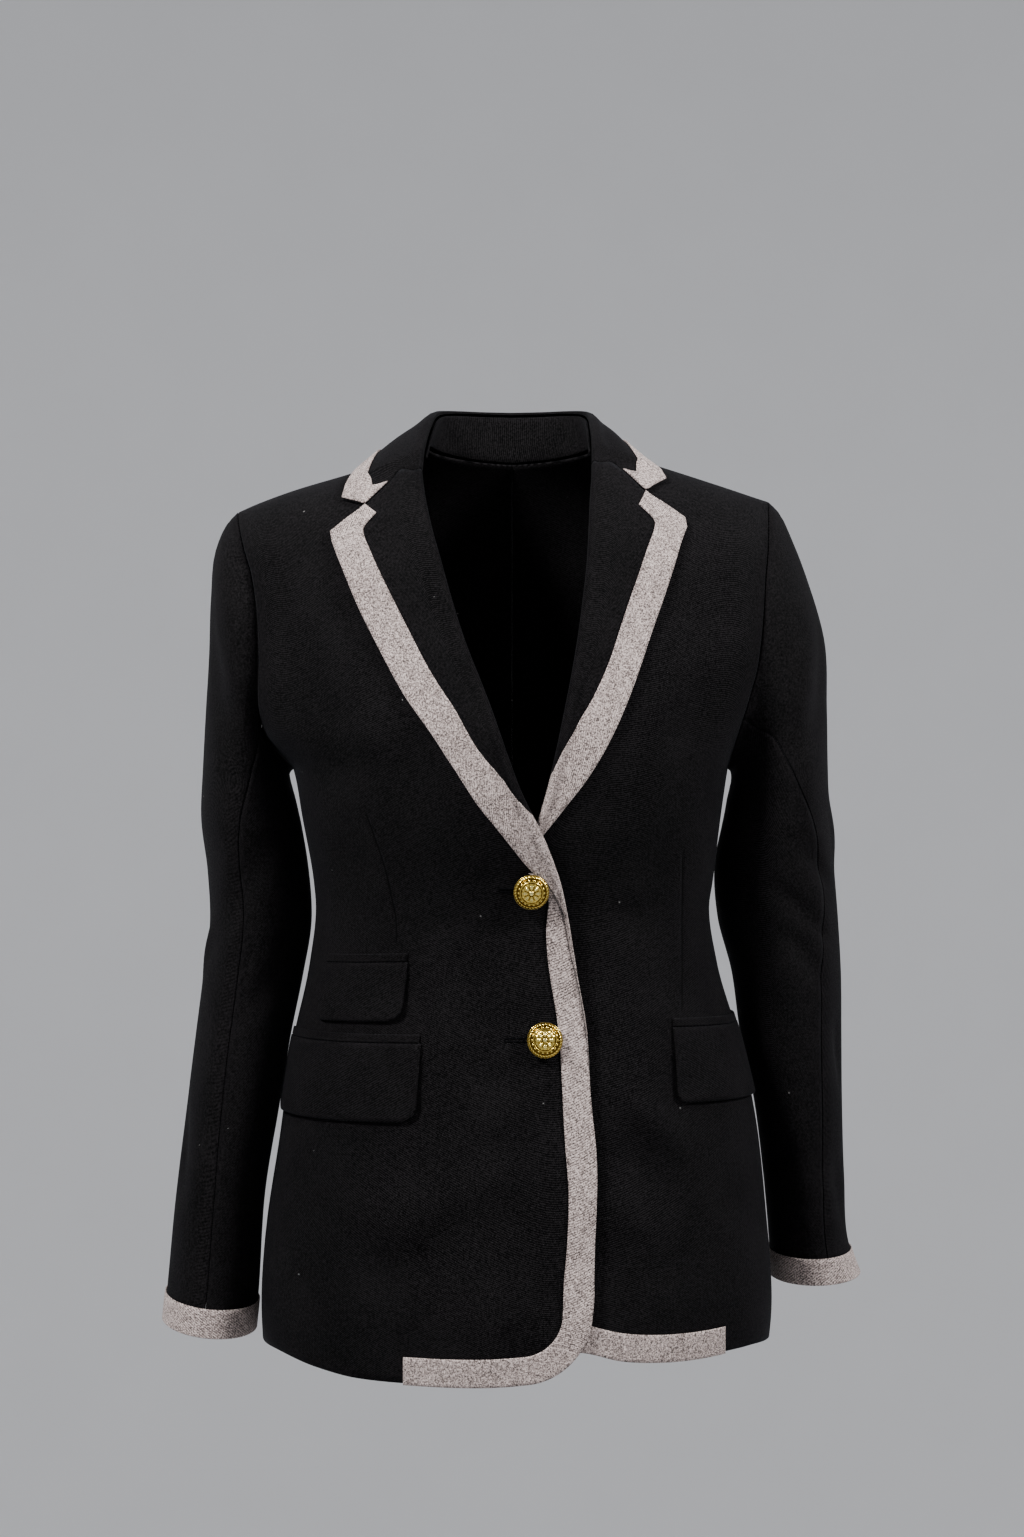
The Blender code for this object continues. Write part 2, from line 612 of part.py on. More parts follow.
def build_sleeve(side, material):
    rings = list(range(15)) + [14.95]
    outer, start, front_seam, back_seam = sleeve_rings(side, rings)
    normal = grid_normals(outer, loop=True) * -SIGN[side]
    inner = outer - normal * CLOTH
    inner[0] = start
    count = outer.shape[1]
    spans = {"under": range(front_seam, back_seam + 1),
             "top": [k % count for k in range(back_seam, front_seam + count + 1)]}
    for part, span in spans.items():
        grids = outer[:, list(span)].copy(), inner[:, list(span)].copy()
        for col in (0, len(span) - 1):
            pull(grids, col=col, by=0.25)
        solid(f"sleeve_{part}_{side}", *grids, material)


def build_cuff_trim(side, material):
    outer = sleeve_rings(side, [CUFF_RING, CUFF_RING + 0.5, 15.0])[0]
    normal = grid_normals(outer, loop=True) * -SIGN[side]
    band = outer + normal * (LAYER_GAP + TRIM_CLOTH), outer + normal * LAYER_GAP
    band = clear(*band, ["sleeve_top_" + side, "sleeve_under_" + side], loop=True)
    solid("cuff_trim_" + side, *band, material, loop=True)


# ---------------------------------------------------------------- lapels
# A row for each line across a lapel: its end on the outer edge, where it crosses the inner line
# of the trim, and its height on the roll line. The first row is the gorge and the top edge.
LAPEL = {
    "right": Table("row outer_x outer_z inner_x inner_z roll_z", [
        (0, -126.2, -70.2, -102.2, -50.4, -24.5), (1, -124.5, -78, -94, -57.6, -36),
        (2, -120.5, -88, -102.7, -69.3, -48), (3, -113.5, -104, -95.5, -89, -66),
        (4, -102.6, -128.5, -84.5, -112, -92), (5, -87.6, -158.4, -71.4, -138, -120),
        (6, -70.8, -188, -54.5, -170, -150), (7, -52.4, -213, -38, -196, -178),
        (8, -34.2, -240, -20, -225, -206), (9, -21.5, -258.7, -7, -242.5, -226),
        (10, -5, -279, 9, -264, -252), (11, 9.5, -297.3, 21.8, -281.5, -281),
        (12, 16.9, -305.5, 26.8, -293, -293), (13, 26.4, -315.8, 31.3, -307, -307),
        (14, 31.9, -325.5, 34.8, -320, -320), (15, 35.6, -334, 36.9, -331.5, -331.5),
    ]),
    "left": Table("row outer_x outer_z inner_x inner_z roll_z", [
        (0, 120.5, -60.2, 93.4, -40.6, -18), (1, 121.5, -67, 88, -51.6, -30),
        (2, 117.4, -77, 98.8, -64.1, -44), (3, 111.5, -95, 92.4, -84.8, -66),
        (4, 103.5, -117.5, 84, -108.5, -92), (5, 94, -144.5, 75, -134.3, -120),
        (6, 84.5, -172, 65.7, -162, -150), (7, 75, -196, 56.5, -183, -176),
        (8, 62.5, -221.5, 46, -203, -200), (9, 49.5, -242.5, 33, -224, -221),
        (10, 38, -257.5, 25.6, -241, -241), (11, 29.2, -269, 21.8, -257.5, -257),
        (12, 28.6, -279, 17.5, -271, -270), (13, 23, -288, 12.5, -283, -282),
    ]),
}
GORGE = {  # the line between collar and lapel, from the roll line to the notch
    "right": ((-77.8, -24.5), (-85.9, -33.9), (-102.4, -50.6)),
    "left": ((68.8, -18.9), (77.1, -24.4), (93.4, -40.6)),
}
COLLAR_TIP = {"right": (-119.8, -45.3), "left": (109.4, -30.7)}
LAPEL_END = 10            # row where the lapel's cloth ends; its trim runs on to the break
ALL_TRIM = {"right": 10, "left": 9}   # row from which the trim covers the lapel up to the roll
# Across the lapel and the collar from the roll: distance from it, and height above the panel.
ROLL_STEPS = ((0.0, -1.8), (1.2, 2.8), (5.0, 4.2))
LEAF_HEIGHTS = (3.2, 2.7, 2.1, 2.1, 2.1)


def lapel_grid(side, rows):
    """(x, z, height) over a lapel: three columns on the roll, two on the cloth, three on the trim."""
    table = LAPEL[side]
    grid = []
    for row in rows:
        outer, band = [np.array([float(table.read(end + axis, row)) for axis in ("_x", "_z")])
                       for end in ("outer", "inner")]
        roll_z = float(table.read("roll_z", row))
        roll = np.array([float(OPENING.read(side, roll_z)), roll_z])
        width = np.linalg.norm(outer - roll)
        ahead = (outer - roll) / width
        steps = [min(step, share * width) for (step, _), share in zip(ROLL_STEPS, (0, 0.12, 0.4))]
        points = [roll + ahead * step for step in steps]
        if np.linalg.norm(band - roll) < steps[2] + 2.0:
            band = roll + ahead * (steps[2] + 0.25 * (width - steps[2]))
        points += [points[2] + (band - points[2]) * share for share in (1 / 3, 2 / 3)]
        points += [band, (band + outer) / 2, outer]
        if row == 0:
            points[3:6] = [np.array(spot) for spot in GORGE[side]]
            points[6] = (points[5] + points[7]) / 2
        heights = np.array([height for _, height in ROLL_STEPS] + list(LEAF_HEIGHTS))
        heights[1:] *= 1 - 0.5 * float(smoothstep(LAPEL_END - 1, LAPEL_END + 1, row))
        grid.append([(*point, height) for point, height in zip(points, heights)])
    return np.array(grid)


def lapel_surface(side, rows):
    spots = lapel_grid(side, rows)
    return on_front(spots[..., 0], spots[..., 1], side, spots[..., 2])


def build_lapel(side, cloth, trim):
    rows = LAPEL[side].column("row")
    outer = lapel_surface(side, rows)
    normal = grid_normals(outer) * SIGN[side]
    under = ["front_" + side, "front_trim_" + side]
    others = ["lapel_left", "lapel_trim_left"] if side == "right" else []
    cells = np.ones((len(rows) - 1, outer.shape[1] - 1), bool)
    cells[LAPEL_END:] = False
    past_lip = cells.copy()
    past_lip[:, 0] = False
    leaf = clear(outer, outer - normal * LAPEL_CLOTH, under, past_lip)
    leaf = clear(*leaf, others, cells, along=FORWARD)
    pull(leaf, row=0)
    solid("lapel_" + side, *leaf, cloth, cells)
    cells[:] = False
    cells[:, 5:] = True
    cells[ALL_TRIM[side]:, 1:] = True
    spots = lapel_grid(side, rows)
    panel_normal = on_front(spots[..., 0], spots[..., 1], side, spots[..., 2] + 1) - outer
    share = smoothstep(LAPEL_END - 4, LAPEL_END - 1, rows)[:, None, None]
    normal = normal * (1 - share) + panel_normal * share
    normal /= np.linalg.norm(normal, axis=-1, keepdims=True)
    band = leaf[0] + normal * (LAYER_GAP + TRIM_CLOTH), leaf[0] + normal * LAYER_GAP
    band = clear(*band, under + ["lapel_" + side], cells)
    band = clear(*band, others, cells, along=FORWARD)
    pull(band, row=0)
    solid("lapel_trim_" + side, *band, trim, cells)


# ---------------------------------------------------------------- collar
# From the gorge (0) over the shoulder seam (3) to the middle of the back (7): the fold, and the
# outer edge on the front (up to 3) or the back of the torso.
COLLAR = {
    "right": Table("t fold_x fold_y fold_z edge_x edge_z foot_x foot_y foot_z", [
        (0, -63.8, -54, -24.5, -119.8, -45.3, -63, -45, -22),
        (1, -62.5, -37, -8, -119.7, -37, -63.5, -31, -12),
        (2, -59.5, -12, 12, -117.5, -24, -63, -13, -1.5), (3, -57, 10, 25, -113.5, -17.8, -60.5, 9, 2),
        (4, -53, 32, 32, -104, -21, -55, 25, 0.9), (5, -38, 50, 35, -75, -19, -40, 41, -1.2),
        (6, -19, 58, 35.5, -38, -17, -20, 54, -2.6), (7, 0, 60, 35.5, 0, -16, 0, 59.5, -3.2),
    ]),
    "left": Table("t fold_x fold_y fold_z edge_x edge_z foot_x foot_y foot_z", [
        (0, 56.8, -48, -18, 109.4, -30.7, 57, -41, -16), (1, 56.8, -34, -4, 108.8, -24.5, 58, -29, -9),
        (2, 56.6, -12, 13, 105, -17.5, 60.2, -13, -1.5), (3, 56.3, 10, 25, 98.6, -12, 60.5, 9, 2),
        (4, 52.5, 32, 32, 90, -15.5, 55, 25, 0.9), (5, 38, 50, 35, 68, -17, 40, 41, -1.2),
        (6, 19, 58, 35.5, 36, -16.5, 20, 54, -2.6), (7, 0, 60, 35.5, 0, -16, 0, 59.5, -3.2),
    ]),
}
# Over the fold behind the neck: distance down the leaf, and height off its chord.
FOLD_STEPS = ((1.8, -2.6), (0.0, -0.6), (1.4, 1.8))
CHORD_RISE = (3.2, 3.6, 2.4, 1.3, 0.0)


def collar_line(side, t, name):
    table = COLLAR[side]
    if name != "edge":
        return np.array([float(table.read(f"{name}_{axis}", t)) for axis in "xyz"])
    x, z = float(table.read("edge_x", t)), float(table.read("edge_z", t))
    face = -1 if t < 3 else 1
    z = min(z, float(ridge(x)))
    return place(x, z, face, LEAF_HEIGHTS[-1])


def rest_on_torso(point, clearance):
    """Move a point out of the torso's skin where it would come closer than the clearance."""
    x, y, z = point
    if z > float(ridge(x)) + clearance:
        return point
    z_skin = min(z, float(ridge(x)) - 0.05)
    face = -1 if y < RIDGE_Y else 1
    foot = place(x, z_skin, face, clearance)
    if (point[1] - foot[1]) * face < 0:
        return np.array([x, foot[1], z])
    return point


def collar_row(side, t):
    """Outer points of the turned-down collar across one line, from the fold to its edge."""
    if t == 0:
        roll = np.array([float(OPENING.read(side, LAPEL[side].read("roll_z", 0))),
                         float(LAPEL[side].read("roll_z", 0))])
        first, second, notch = [np.array(spot) for spot in GORGE[side]]
        ahead = (first - roll) / np.linalg.norm(first - roll)
        spots = [roll + ahead * step for step, _ in ROLL_STEPS]
        spots += [first, (first + second) / 2, second, notch, np.array(COLLAR_TIP[side])]
        heights = [height for _, height in ROLL_STEPS] + list(LEAF_HEIGHTS)
        return np.array([place(*spot, -1, height) for spot, height in zip(spots, heights)])
    fold, edge = collar_line(side, t, "fold"), collar_line(side, t, "edge")
    chord = edge - fold
    length = np.linalg.norm(chord)
    chord = chord / length
    step = 0.05
    late, early = min(t + step, 7), t - step
    along = sum(collar_line(side, late, end) - collar_line(side, early, end)
                for end in ("fold", "edge"))
    rise = np.cross(along, chord)
    rise *= -SIGN[side] / np.linalg.norm(rise)
    back = float(smoothstep(0.0, 2.5, t))
    starts = [np.array(front) * (1 - back) + np.array(behind) * back
              for front, behind in zip(ROLL_STEPS, FOLD_STEPS)]
    band = length - TRIM_WIDTH
    places = [tuple(start) for start in starts]
    reach = [places[2][0] + (band - places[2][0]) * share for share in (1 / 3, 2 / 3)]
    reach += [band, (band + length) / 2, length]
    places += list(zip(reach, CHORD_RISE))
    points = [fold + chord * down + rise * out for down, out in places]
    return np.array(points[:3] + [rest_on_torso(point, 2.1) for point in points[3:]])


def collar_surface(step=0.5):
    ts = [0] + list(np.arange(1, 7 + step / 2, step))
    rows = [collar_row("right", t) for t in ts]
    rows += [collar_row("left", t) for t in reversed(ts[:-1])]
    return np.array(rows)


def build_collar(cloth, trim):
    outer = collar_surface()
    normal = grid_normals(outer)
    panels = [part + side for part in ("front_", "back_") for side in SIGN]
    cells = np.zeros((outer.shape[0] - 1, outer.shape[1] - 1), bool)
    cells[:, 3:] = True
    leaf = clear(outer, outer - normal * LAPEL_CLOTH, panels, cells)
    for row in (0, outer.shape[0] - 1):
        pull(leaf, row=row)
    solid("collar_fall", *leaf, cloth)
    cells[:, :5] = False
    band = leaf[0] + normal * (LAYER_GAP + TRIM_CLOTH), leaf[0] + normal * LAYER_GAP
    band = clear(*band, panels + ["collar_fall"], cells)
    for row in (0, outer.shape[0] - 1):
        pull(band, row=row, by=0.4)
    solid("collar_trim", *band, trim, cells)
    ts = list(np.arange(1, 7.1, 0.5))
    rows = []
    for side, order in (("right", ts), ("left", ts[-2::-1])):
        for t in order:
            foot, fold = collar_line(side, t, "foot"), collar_line(side, t, "fold")
            toward = np.array([fold[0], fold[1], 0]) / math.hypot(fold[0], fold[1])
            top = fold - toward * 1.2 - np.array([0, 0, 4.2])
            rows.append([foot + (top - foot) * share for share in (0, 0.5, 1)])
    outer = np.array(rows)
    normal = -grid_normals(outer)
    solid("collar_stand", outer, outer - normal * LAPEL_CLOTH, cloth)


# ---------------------------------------------------------------- front trims
TRIM_TOP = {"right": -303.0, "left": -293.0}
HEM_TRIM_END = {"right": -73.2, "left": 146.0}
TRIM_ROWS = (-293, -303, -312, -322, -332, -342, -360, -380, -405, -430, -459, -490, -520, -550,
             -575)
# Inner line of the trim down each front edge, from where the lapel's fold uncovers it.
EDGE_TRIM = Table("z right left", [
    (-293, 11, 14), (-303, 11, 13.5), (-312, 20.3, 13), (-322, 24.6, 13), (-338, 24.2, 13),
    (-379, 24.6, 13), (-407, 29.9, 13), (-459, 33.8, 13), (-493, 35.6, 13), (-521, 37.7, 13),
    (-547, 37, 13), (-577, 34.9, 13), (-598, 34.5, 13),
])


def front_trim_lines(side):
    """Outer and inner (x, z) lines of the trim: down the edge, round the corner, along the hem."""
    centre_x, centre_z, radius = CORNER[side]
    sign = SIGN[side]
    outer, inner = [], []
    for z in TRIM_ROWS:
        if not centre_z < z <= TRIM_TOP[side]:
            continue
        setback = 3.6 * float(smoothstep(BREAK_Z[side] - 8, BREAK_Z[side] + 6, z))
        outer.append((float(OPENING.read(side, z)) + sign * setback, z))
        inner.append((float(EDGE_TRIM.read(side, z)), z))
    for turn in np.radians(np.linspace(0, 90, 7)):
        for line, reach in ((outer, radius), (inner, radius - TRIM_WIDTH)):
            line.append((centre_x - sign * reach * math.cos(turn),
                         centre_z - reach * math.sin(turn)))
    for x in np.linspace(centre_x, HEM_TRIM_END[side], 5)[1:]:
        outer.append((x, float(HEM.read("z", x))))
        inner.append((x, float(HEM.read("z", x)) + TRIM_WIDTH))
    return np.array(outer), np.array(inner)


def build_front_trim(side, material):
    outer_line, inner_line = front_trim_lines(side)
    spots = np.stack([outer_line, (outer_line + inner_line) / 2, inner_line], 1)
    layers = [on_front(spots[..., 0], spots[..., 1], side, height + 0 * spots[..., 0])
              for height in (LAYER_GAP + TRIM_CLOTH, LAYER_GAP)]
    solid("front_trim_" + side, *clear(*layers, ["front_" + side]), material)


# ---------------------------------------------------------------- pockets
# front_x: the end nearest the front edge; top_z: its height there; slope: fall of the top per mm
# towards the side; drop: height of the flap; end: degrees round the section of its far end.
POCKETS = {
    "ticket": dict(side="right", front_x=-70.8, top_z=-367.0, slope=0.05, drop=40.5, end=62.0),
    "right": dict(side="right", front_x=-61.3, top_z=-422.0, slope=0.028, drop=53.0, end=82.0),
    "left": dict(side="left", front_x=110.2, top_z=-413.0, slope=0.045, drop=51.0, end=109.0),
}
FLAP_CLOTH = 1.8
WELT_HEIGHT = 6.0
FLAP_CORNER = 11.0


def round_torso(side, turn, z, height):
    """Point of the torso below the underarm, `turn` radians round from the middle front."""
    face = -1 if turn <= math.pi / 2 else 1
    x = float(half_width(SIGN[side], z, face)) * math.sin(turn) * SIGN[side]
    if face < 0:
        return on_front(x, z, side, height)
    return place(x, z, face, height)


def flap_grid(pocket, columns, rows, heights):
    """Points over a flap: `columns` are turns of the section, `rows` shares of its drop."""
    side = pocket["side"]
    first = round_torso(side, columns[0], pocket["top_z"], 0.0)
    arc, last = [], first
    for turn in columns:
        point = round_torso(side, turn, pocket["top_z"], 0.0)
        arc.append((arc[-1] if arc else 0) + math.dist(point, last))
        last = point
    grid = []
    for share, height in zip(rows, heights):
        line = []
        for run, turn in zip(arc, columns):
            top = pocket["top_z"] - pocket["slope"] * run
            near = max(FLAP_CORNER - min(run, arc[-1] - run), 0)
            drop = pocket["drop"] - (FLAP_CORNER - math.sqrt(FLAP_CORNER ** 2 - near ** 2))
            line.append(round_torso(side, turn, top - drop * share, height))
        grid.append(line)
    return np.array(grid)


def build_pocket(name, flap_name, welt_name, material):
    pocket = POCKETS[name]
    side = pocket["side"]
    wide = float(half_width(SIGN[side], pocket["top_z"], -1))
    start = math.asin(abs(pocket["front_x"]) / wide)
    end = math.radians(pocket["end"])
    edge = np.array([0, 0.018, 0.06])
    shares = np.concatenate([edge, np.linspace(0.14, 0.86, 6), 1 - edge[::-1]])
    columns = start + (end - start) * shares
    rows = (0, 0.25, 0.6, 1)
    lifts = np.array([0.0, 0.2, 0.6, 1.1]) + LAYER_GAP
    under = ["front_" + side, "back_" + side]
    flap = [flap_grid(pocket, columns, rows, lifts + rise) for rise in (FLAP_CLOTH, 0)]
    solid(flap_name, *clear(*flap, under), material)
    welt = dict(pocket, drop=WELT_HEIGHT, top_z=pocket["top_z"] + SEAM + WELT_HEIGHT)
    grids = []
    for height in (LAYER_GAP + LAPEL_CLOTH, LAYER_GAP):
        line = []
        for share in (0, 1):
            top = dict(welt, top_z=welt["top_z"] - WELT_HEIGHT * share)
            line.append(flap_grid(top, columns[2:-2], (0,), (height,))[0])
        grids.append(np.array(line))
    solid(welt_name, *clear(*grids, under), material)


# ---------------------------------------------------------------- buttons
BUTTONS = {"button_upper": (12.8, -315.7), "button_lower": (22.1, -419.3)}
# Outline of a domed shank button from the top of its dome to the foot of its shank.
BUTTON_OUTLINE = ((0, 9.2), (4, 8.9), (7.6, 8.0), (10.2, 6.8), (11.4, 5.8), (12, 5.2), (11.6, 4.7),
                  (3.4, 4.5), (2.6, 4.1), (2.6, 0.5), (0, 0.5))


def build_button(name, material):
    x, z = BUTTONS[name]
    mesh = bpy.data.meshes.new(name)
    points = [(radius * MM, 0, height * MM) for radius, height in BUTTON_OUTLINE]
    mesh.from_pydata(points, [(k, k + 1) for k in range(len(points) - 1)], [])
    button = add_object(name, mesh, material)
    turn = button.modifiers.new("turn", "SCREW")
    turn.steps = turn.render_steps = 24
    turn.use_merge_vertices = True
    turn.merge_threshold = 0.00001
    foot = on_front(x, z, "right", 0.0)
    ahead = on_front(x, z, "right", 1.0) - foot
    button.location = foot * MM
    button.rotation_mode = "QUATERNION"
    button.rotation_quaternion = Vector(ahead).to_track_quat("Z", "Y")


# ---------------------------------------------------------------- materials and assembly
def material(name, colour, roughness, metallic=0.0):
    made = bpy.data.materials.new(name)
    made.use_nodes = True
    shader = made.node_tree.nodes["Principled BSDF"]
    shader.inputs["Base Color"].default_value = (*colour, 1)
    shader.inputs["Roughness"].default_value = roughness
    shader.inputs["Metallic"].default_value = metallic
    return made


def main():
    for stale in list(bpy.data.objects):
        bpy.data.objects.remove(stale, do_unlink=True)
    parts = bpy.data.collections.new("single_breasted_blazer")
    bpy.context.scene.collection.children.link(parts)
    cloth = material("black_wool", (0.008, 0.008, 0.011), 0.9)
    trim = material("grey_trim", (0.36, 0.34, 0.32), 0.95)
    gold = material("gold", (0.85, 0.6, 0.2), 0.28, 1.0)
    for side in ("left", "right"):
        build_front(side, cloth)
        build_back(side, cloth)
        build_front_trim(side, trim)
        build_lapel(side, cloth, trim)
        build_sleeve(side, cloth)
        build_cuff_trim(side, trim)
    build_collar(cloth, trim)
    build_pocket("ticket", "ticket_flap", "ticket_welt", cloth)
    build_pocket("right", "pocket_flap_right", "pocket_welt_right", cloth)
    build_pocket("left", "pocket_flap_left", "pocket_welt_left", cloth)
    for name in BUTTONS:
        build_button(name, gold)


main()
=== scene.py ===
"""Looks of the single-breasted two-button blazer: worn cloth pieces, trim, buttons and sewing.

The pieces follow the part's own surfaces at a finer spacing. Tables and lengths are in
millimetres; `MM` turns them into metres when a mesh is made. "right" and "left" are the wearer's.
"""

import math
from collections import namedtuple

import bpy
import numpy as np
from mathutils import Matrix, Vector
from mathutils.bvhtree import BVHTree


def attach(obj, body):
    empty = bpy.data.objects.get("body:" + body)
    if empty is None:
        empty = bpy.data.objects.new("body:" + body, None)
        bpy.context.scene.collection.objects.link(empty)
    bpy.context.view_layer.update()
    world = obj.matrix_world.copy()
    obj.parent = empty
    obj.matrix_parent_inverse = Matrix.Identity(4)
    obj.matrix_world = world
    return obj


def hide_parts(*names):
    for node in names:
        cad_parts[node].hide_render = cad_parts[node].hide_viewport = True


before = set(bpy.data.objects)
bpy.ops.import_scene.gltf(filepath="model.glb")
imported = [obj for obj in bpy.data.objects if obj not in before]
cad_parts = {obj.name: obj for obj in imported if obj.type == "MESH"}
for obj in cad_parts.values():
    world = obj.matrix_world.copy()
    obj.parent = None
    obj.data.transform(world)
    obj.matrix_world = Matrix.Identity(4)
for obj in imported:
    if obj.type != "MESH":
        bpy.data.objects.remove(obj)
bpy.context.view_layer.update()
MM = 0.001

# ---- driving sizes
HEM_Z = -648.0  # height of the hem
UNDERARM_Z = -234.5  # height of the underarm point, where side seam and armhole meet
NECK_X = 62.0  # side neck point
RIDGE_Y = 4.0  # the shoulder seam lies this far behind the origin
CLOTH = 2.0  # wall of the wool cloth
LAPEL_CLOTH = 1.6  # wall of the lapels and the collar
TRIM_CLOTH = 1.0  # wall of the contrast trim
TRIM_WIDTH = 19.0  # width of the contrast trim
SEAM = 0.06  # gap between neighbouring pieces
LAYER_GAP = 0.4  # gap between a piece and the panel that it lies on
EDGE_SET = 0.8  # the trim reaches this far past the panels' edges
NEAR = 1e-3  # step between the places that a normal is taken from
INSIDE_DROP = 30.0  # normals point away from a spot on the axis this far below


# ---- tables
def unit(vectors):
    return vectors / np.linalg.norm(vectors, axis=-1, keepdims=True)


def hermite(t, reach, start, slope, end, end_slope):
    """Cubic from `start` to `end` with the slopes given there, at the share t of its reach."""
    return ((2 * t**3 - 3 * t**2 + 1) * start + (t**3 - 2 * t**2 + t) * reach * slope
            + (3 * t**2 - 2 * t**3) * end + (t**3 - t**2) * reach * end_slope)


def smooth(knots, values, at):
    """Monotone cubic through the knots, held level beyond both ends."""
    at = np.clip(np.asarray(at, float), knots[0], knots[-1])
    step = np.diff(knots)
    rise = np.diff(values) / step
    slope = np.zeros(len(knots))
    slope[0], slope[-1] = rise[0], rise[-1]
    for k in range(1, len(knots) - 1):
        if rise[k - 1] * rise[k] > 0:
            slope[k] = 2 * rise[k - 1] * rise[k] / (rise[k - 1] + rise[k])
    i = np.clip(np.searchsorted(knots, at) - 1, 0, len(knots) - 2)
    return hermite((at - knots[i]) / step[i], step[i], values[i], slope[i], values[i + 1],
                   slope[i + 1])


class Table:
    """A short table with named columns, read through its first column."""

    def __init__(self, names, rows):
        self.names = names.split()
        self.rows = np.array(sorted(rows), float)

    def column(self, name):
        return self.rows[:, self.names.index(name)]

    def read(self, name, at):
        return smooth(self.rows[:, 0], self.column(name), at)

    def spot(self, name, at, axes="xz"):
        """The columns name_x, name_z and so on, read together as points."""
        return np.stack([self.read(f"{name}_{axis}", at) for axis in axes], -1)


# Torso sections. right, left: half widths at the seam between front and back (side seam up to
# the underarm, armhole above it). Of the front (_f) and the back (_b), depth: depth at the
# middle; seam: how far before or behind the side line that seam lies.
TORSO = Table("z right left depth_f depth_b seam_f seam_b", [
    (0, 206, 191, 82, 98, 26, 34), (-47, 200, 186, 87, 100, 34, 44),
    (-75, 192.7, 183.3, 92, 101, 42, 52), (-100, 184.5, 180, 98, 102, 48, 58),
    (-131, 179.8, 177.3, 106, 103, 55, 62), (-160, 178.7, 173.8, 114, 103, 57, 62),
    (-187, 179.5, 167, 121, 102, 54, 56), (-207, 177, 161.5, 125, 99, 45, 46),
    (-223, 167, 158, 126, 96, 31, 32), (-231, 161, 157, 126, 95, 16, 17),
    (UNDERARM_Z, 158.6, 156.4, 126, 94, 0, 0), (-270, 152, 151.3, 122, 89, 0, 0),
    (-316, 144, 145.8, 110, 82, 0, 0), (-335, 142.5, 143.2, 107, 80, 0, 0),
    (-375, 147, 149, 106, 84, 0, 0), (-436, 160, 166.6, 112, 98, 0, 0),
    (-499, 168.4, 178.7, 119, 109, 0, 0), (-563, 178, 185, 125, 116, 0, 0),
    (-610, 182, 189, 129, 119, 0, 0), (HEM_Z, 180.5, 186, 129, 119, 0, 0),
])
ROUND = {-1: 2.4, 1: 2.5}  # superellipse powers of the front and the back

# Shoulder line from the neck (virtual inside NECK_X) to the shoulder points.
SHOULDER = Table("x right left roll_f roll_b", [
    (0, 19.5, 19.5, 110, 125), (NECK_X, 0, 0, 105, 118), (114, -18, -16, 96, 106),
    (158, -31, -30, 88, 96), (186, -41, -39, 82, 88), (200, -47, -43, 80, 86),
])


def side_value(table, x, at):
    """Read column `right` where x < 0 and column `left` elsewhere."""
    return np.where(np.asarray(x) < 0, table.read("right", at), table.read("left", at))


def face_value(table, name, face, at):
    """Read a column of the front (face -1) or of the back (face 1)."""
    return table.read(name + ("_f" if face < 0 else "_b"), at)


def ridge(x):
    """Height of the shoulder line above or below the side neck point, at x."""
    return side_value(SHOULDER, x, np.abs(x))


def roll_at(x, face):
    """How far below the shoulder line its rounding starts, at x."""
    return face_value(SHOULDER, "roll", face, np.abs(x))


def section(share, face):
    """Height of the unit superellipse at a share of its half width."""
    return (1 - share ** ROUND[face]) ** (1 / ROUND[face])


def half_width(x, z, face):
    """Half width of the superellipse whose curve passes through the seam at this height."""
    seam, depth = face_value(TORSO, "seam", face, z), face_value(TORSO, "depth", face, z)
    return side_value(TORSO, x, z) / section(seam / depth, face)


def smoothstep(low, high, value):
    t = np.clip((np.asarray(value, float) - low) / (high - low), 0, 1)
    return t * t * (3 - 2 * t)


# Soft folds of the worn front (-1) and back (1): a trough from (x0, z0) to (x1, z1), or a ridge
# where the depth is negative.
FOLDS = {
    -1: Table("x0 z0 x1 z1 width depth", [
        (-58, -345, -34, -478, 9, -1.3), (10, -385, -30, -470, 15, 1.7),
        (30, -440, -34, -494, 9, -1.7), (44, -480, -112, -562, 13, -1.7),
        (-10, -520, -100, -600, 12, 1.4), (50, -432, 136, -510, 10, -2.0),
        (58, -470, 118, -540, 14, 1.8), (-120, -250, -100, -330, 16, 1.4),
        (112, -262, 92, -330, 15, 1.4), (-28, -332, -72, -354, 9, 1.1),
        (-4, -426, -10, -470, 7, 1.2), (44, -500, 130, -585, 12, -1.4),
        (48, -540, 84, -620, 14, 1.5), (-98, -530, -82, -618, 14, 1.6),
        (-146, -168, -108, -226, 14, 1.7), (128, -172, 98, -236, 14, 1.7),
        (-132, -96, -104, -160, 16, 1.3), (58, -328, 104, -348, 10, 1.3),
        (-62, -470, -88, -590, 11, -1.2), (92, -436, 108, -520, 12, -1.2),
        (-118, -196, -78, -236, 11, -1.1), (104, -88, 122, -158, 14, 1.2),
        (18, -560, 34, -620, 10, 0.9),
    ]),
    1: Table("x0 z0 x1 z1 width depth", [
        (-64, -258, -22, -302, 13, 2.0), (58, -252, 18, -312, 15, 1.8),
        (-96, -180, -118, -318, 18, 2.4), (100, -176, 118, -300, 17, 2.2),
        (-28, -420, -52, -556, 19, 2.0), (42, -396, 68, -530, 21, 2.2),
        (-12, -338, -78, -384, 12, 1.5), (14, -332, 84, -368, 13, 1.6),
        (-72, -112, -104, -176, 15, 1.5), (82, -104, 106, -170, 14, 1.4),
        (-102, -470, -116, -606, 15, 1.5), (94, -484, 108, -612, 14, 1.6),
        (-76, -398, -86, -500, 11, -1.4), (86, -392, 100, -486, 12, -1.3),
        (-20, -70, -62, -96, 13, 1.2), (24, -76, 58, -104, 12, 1.1),
    ]),
}
FOLD_STRENGTH = 2.0  # scale of the depths of the folds and the sleeves' creases


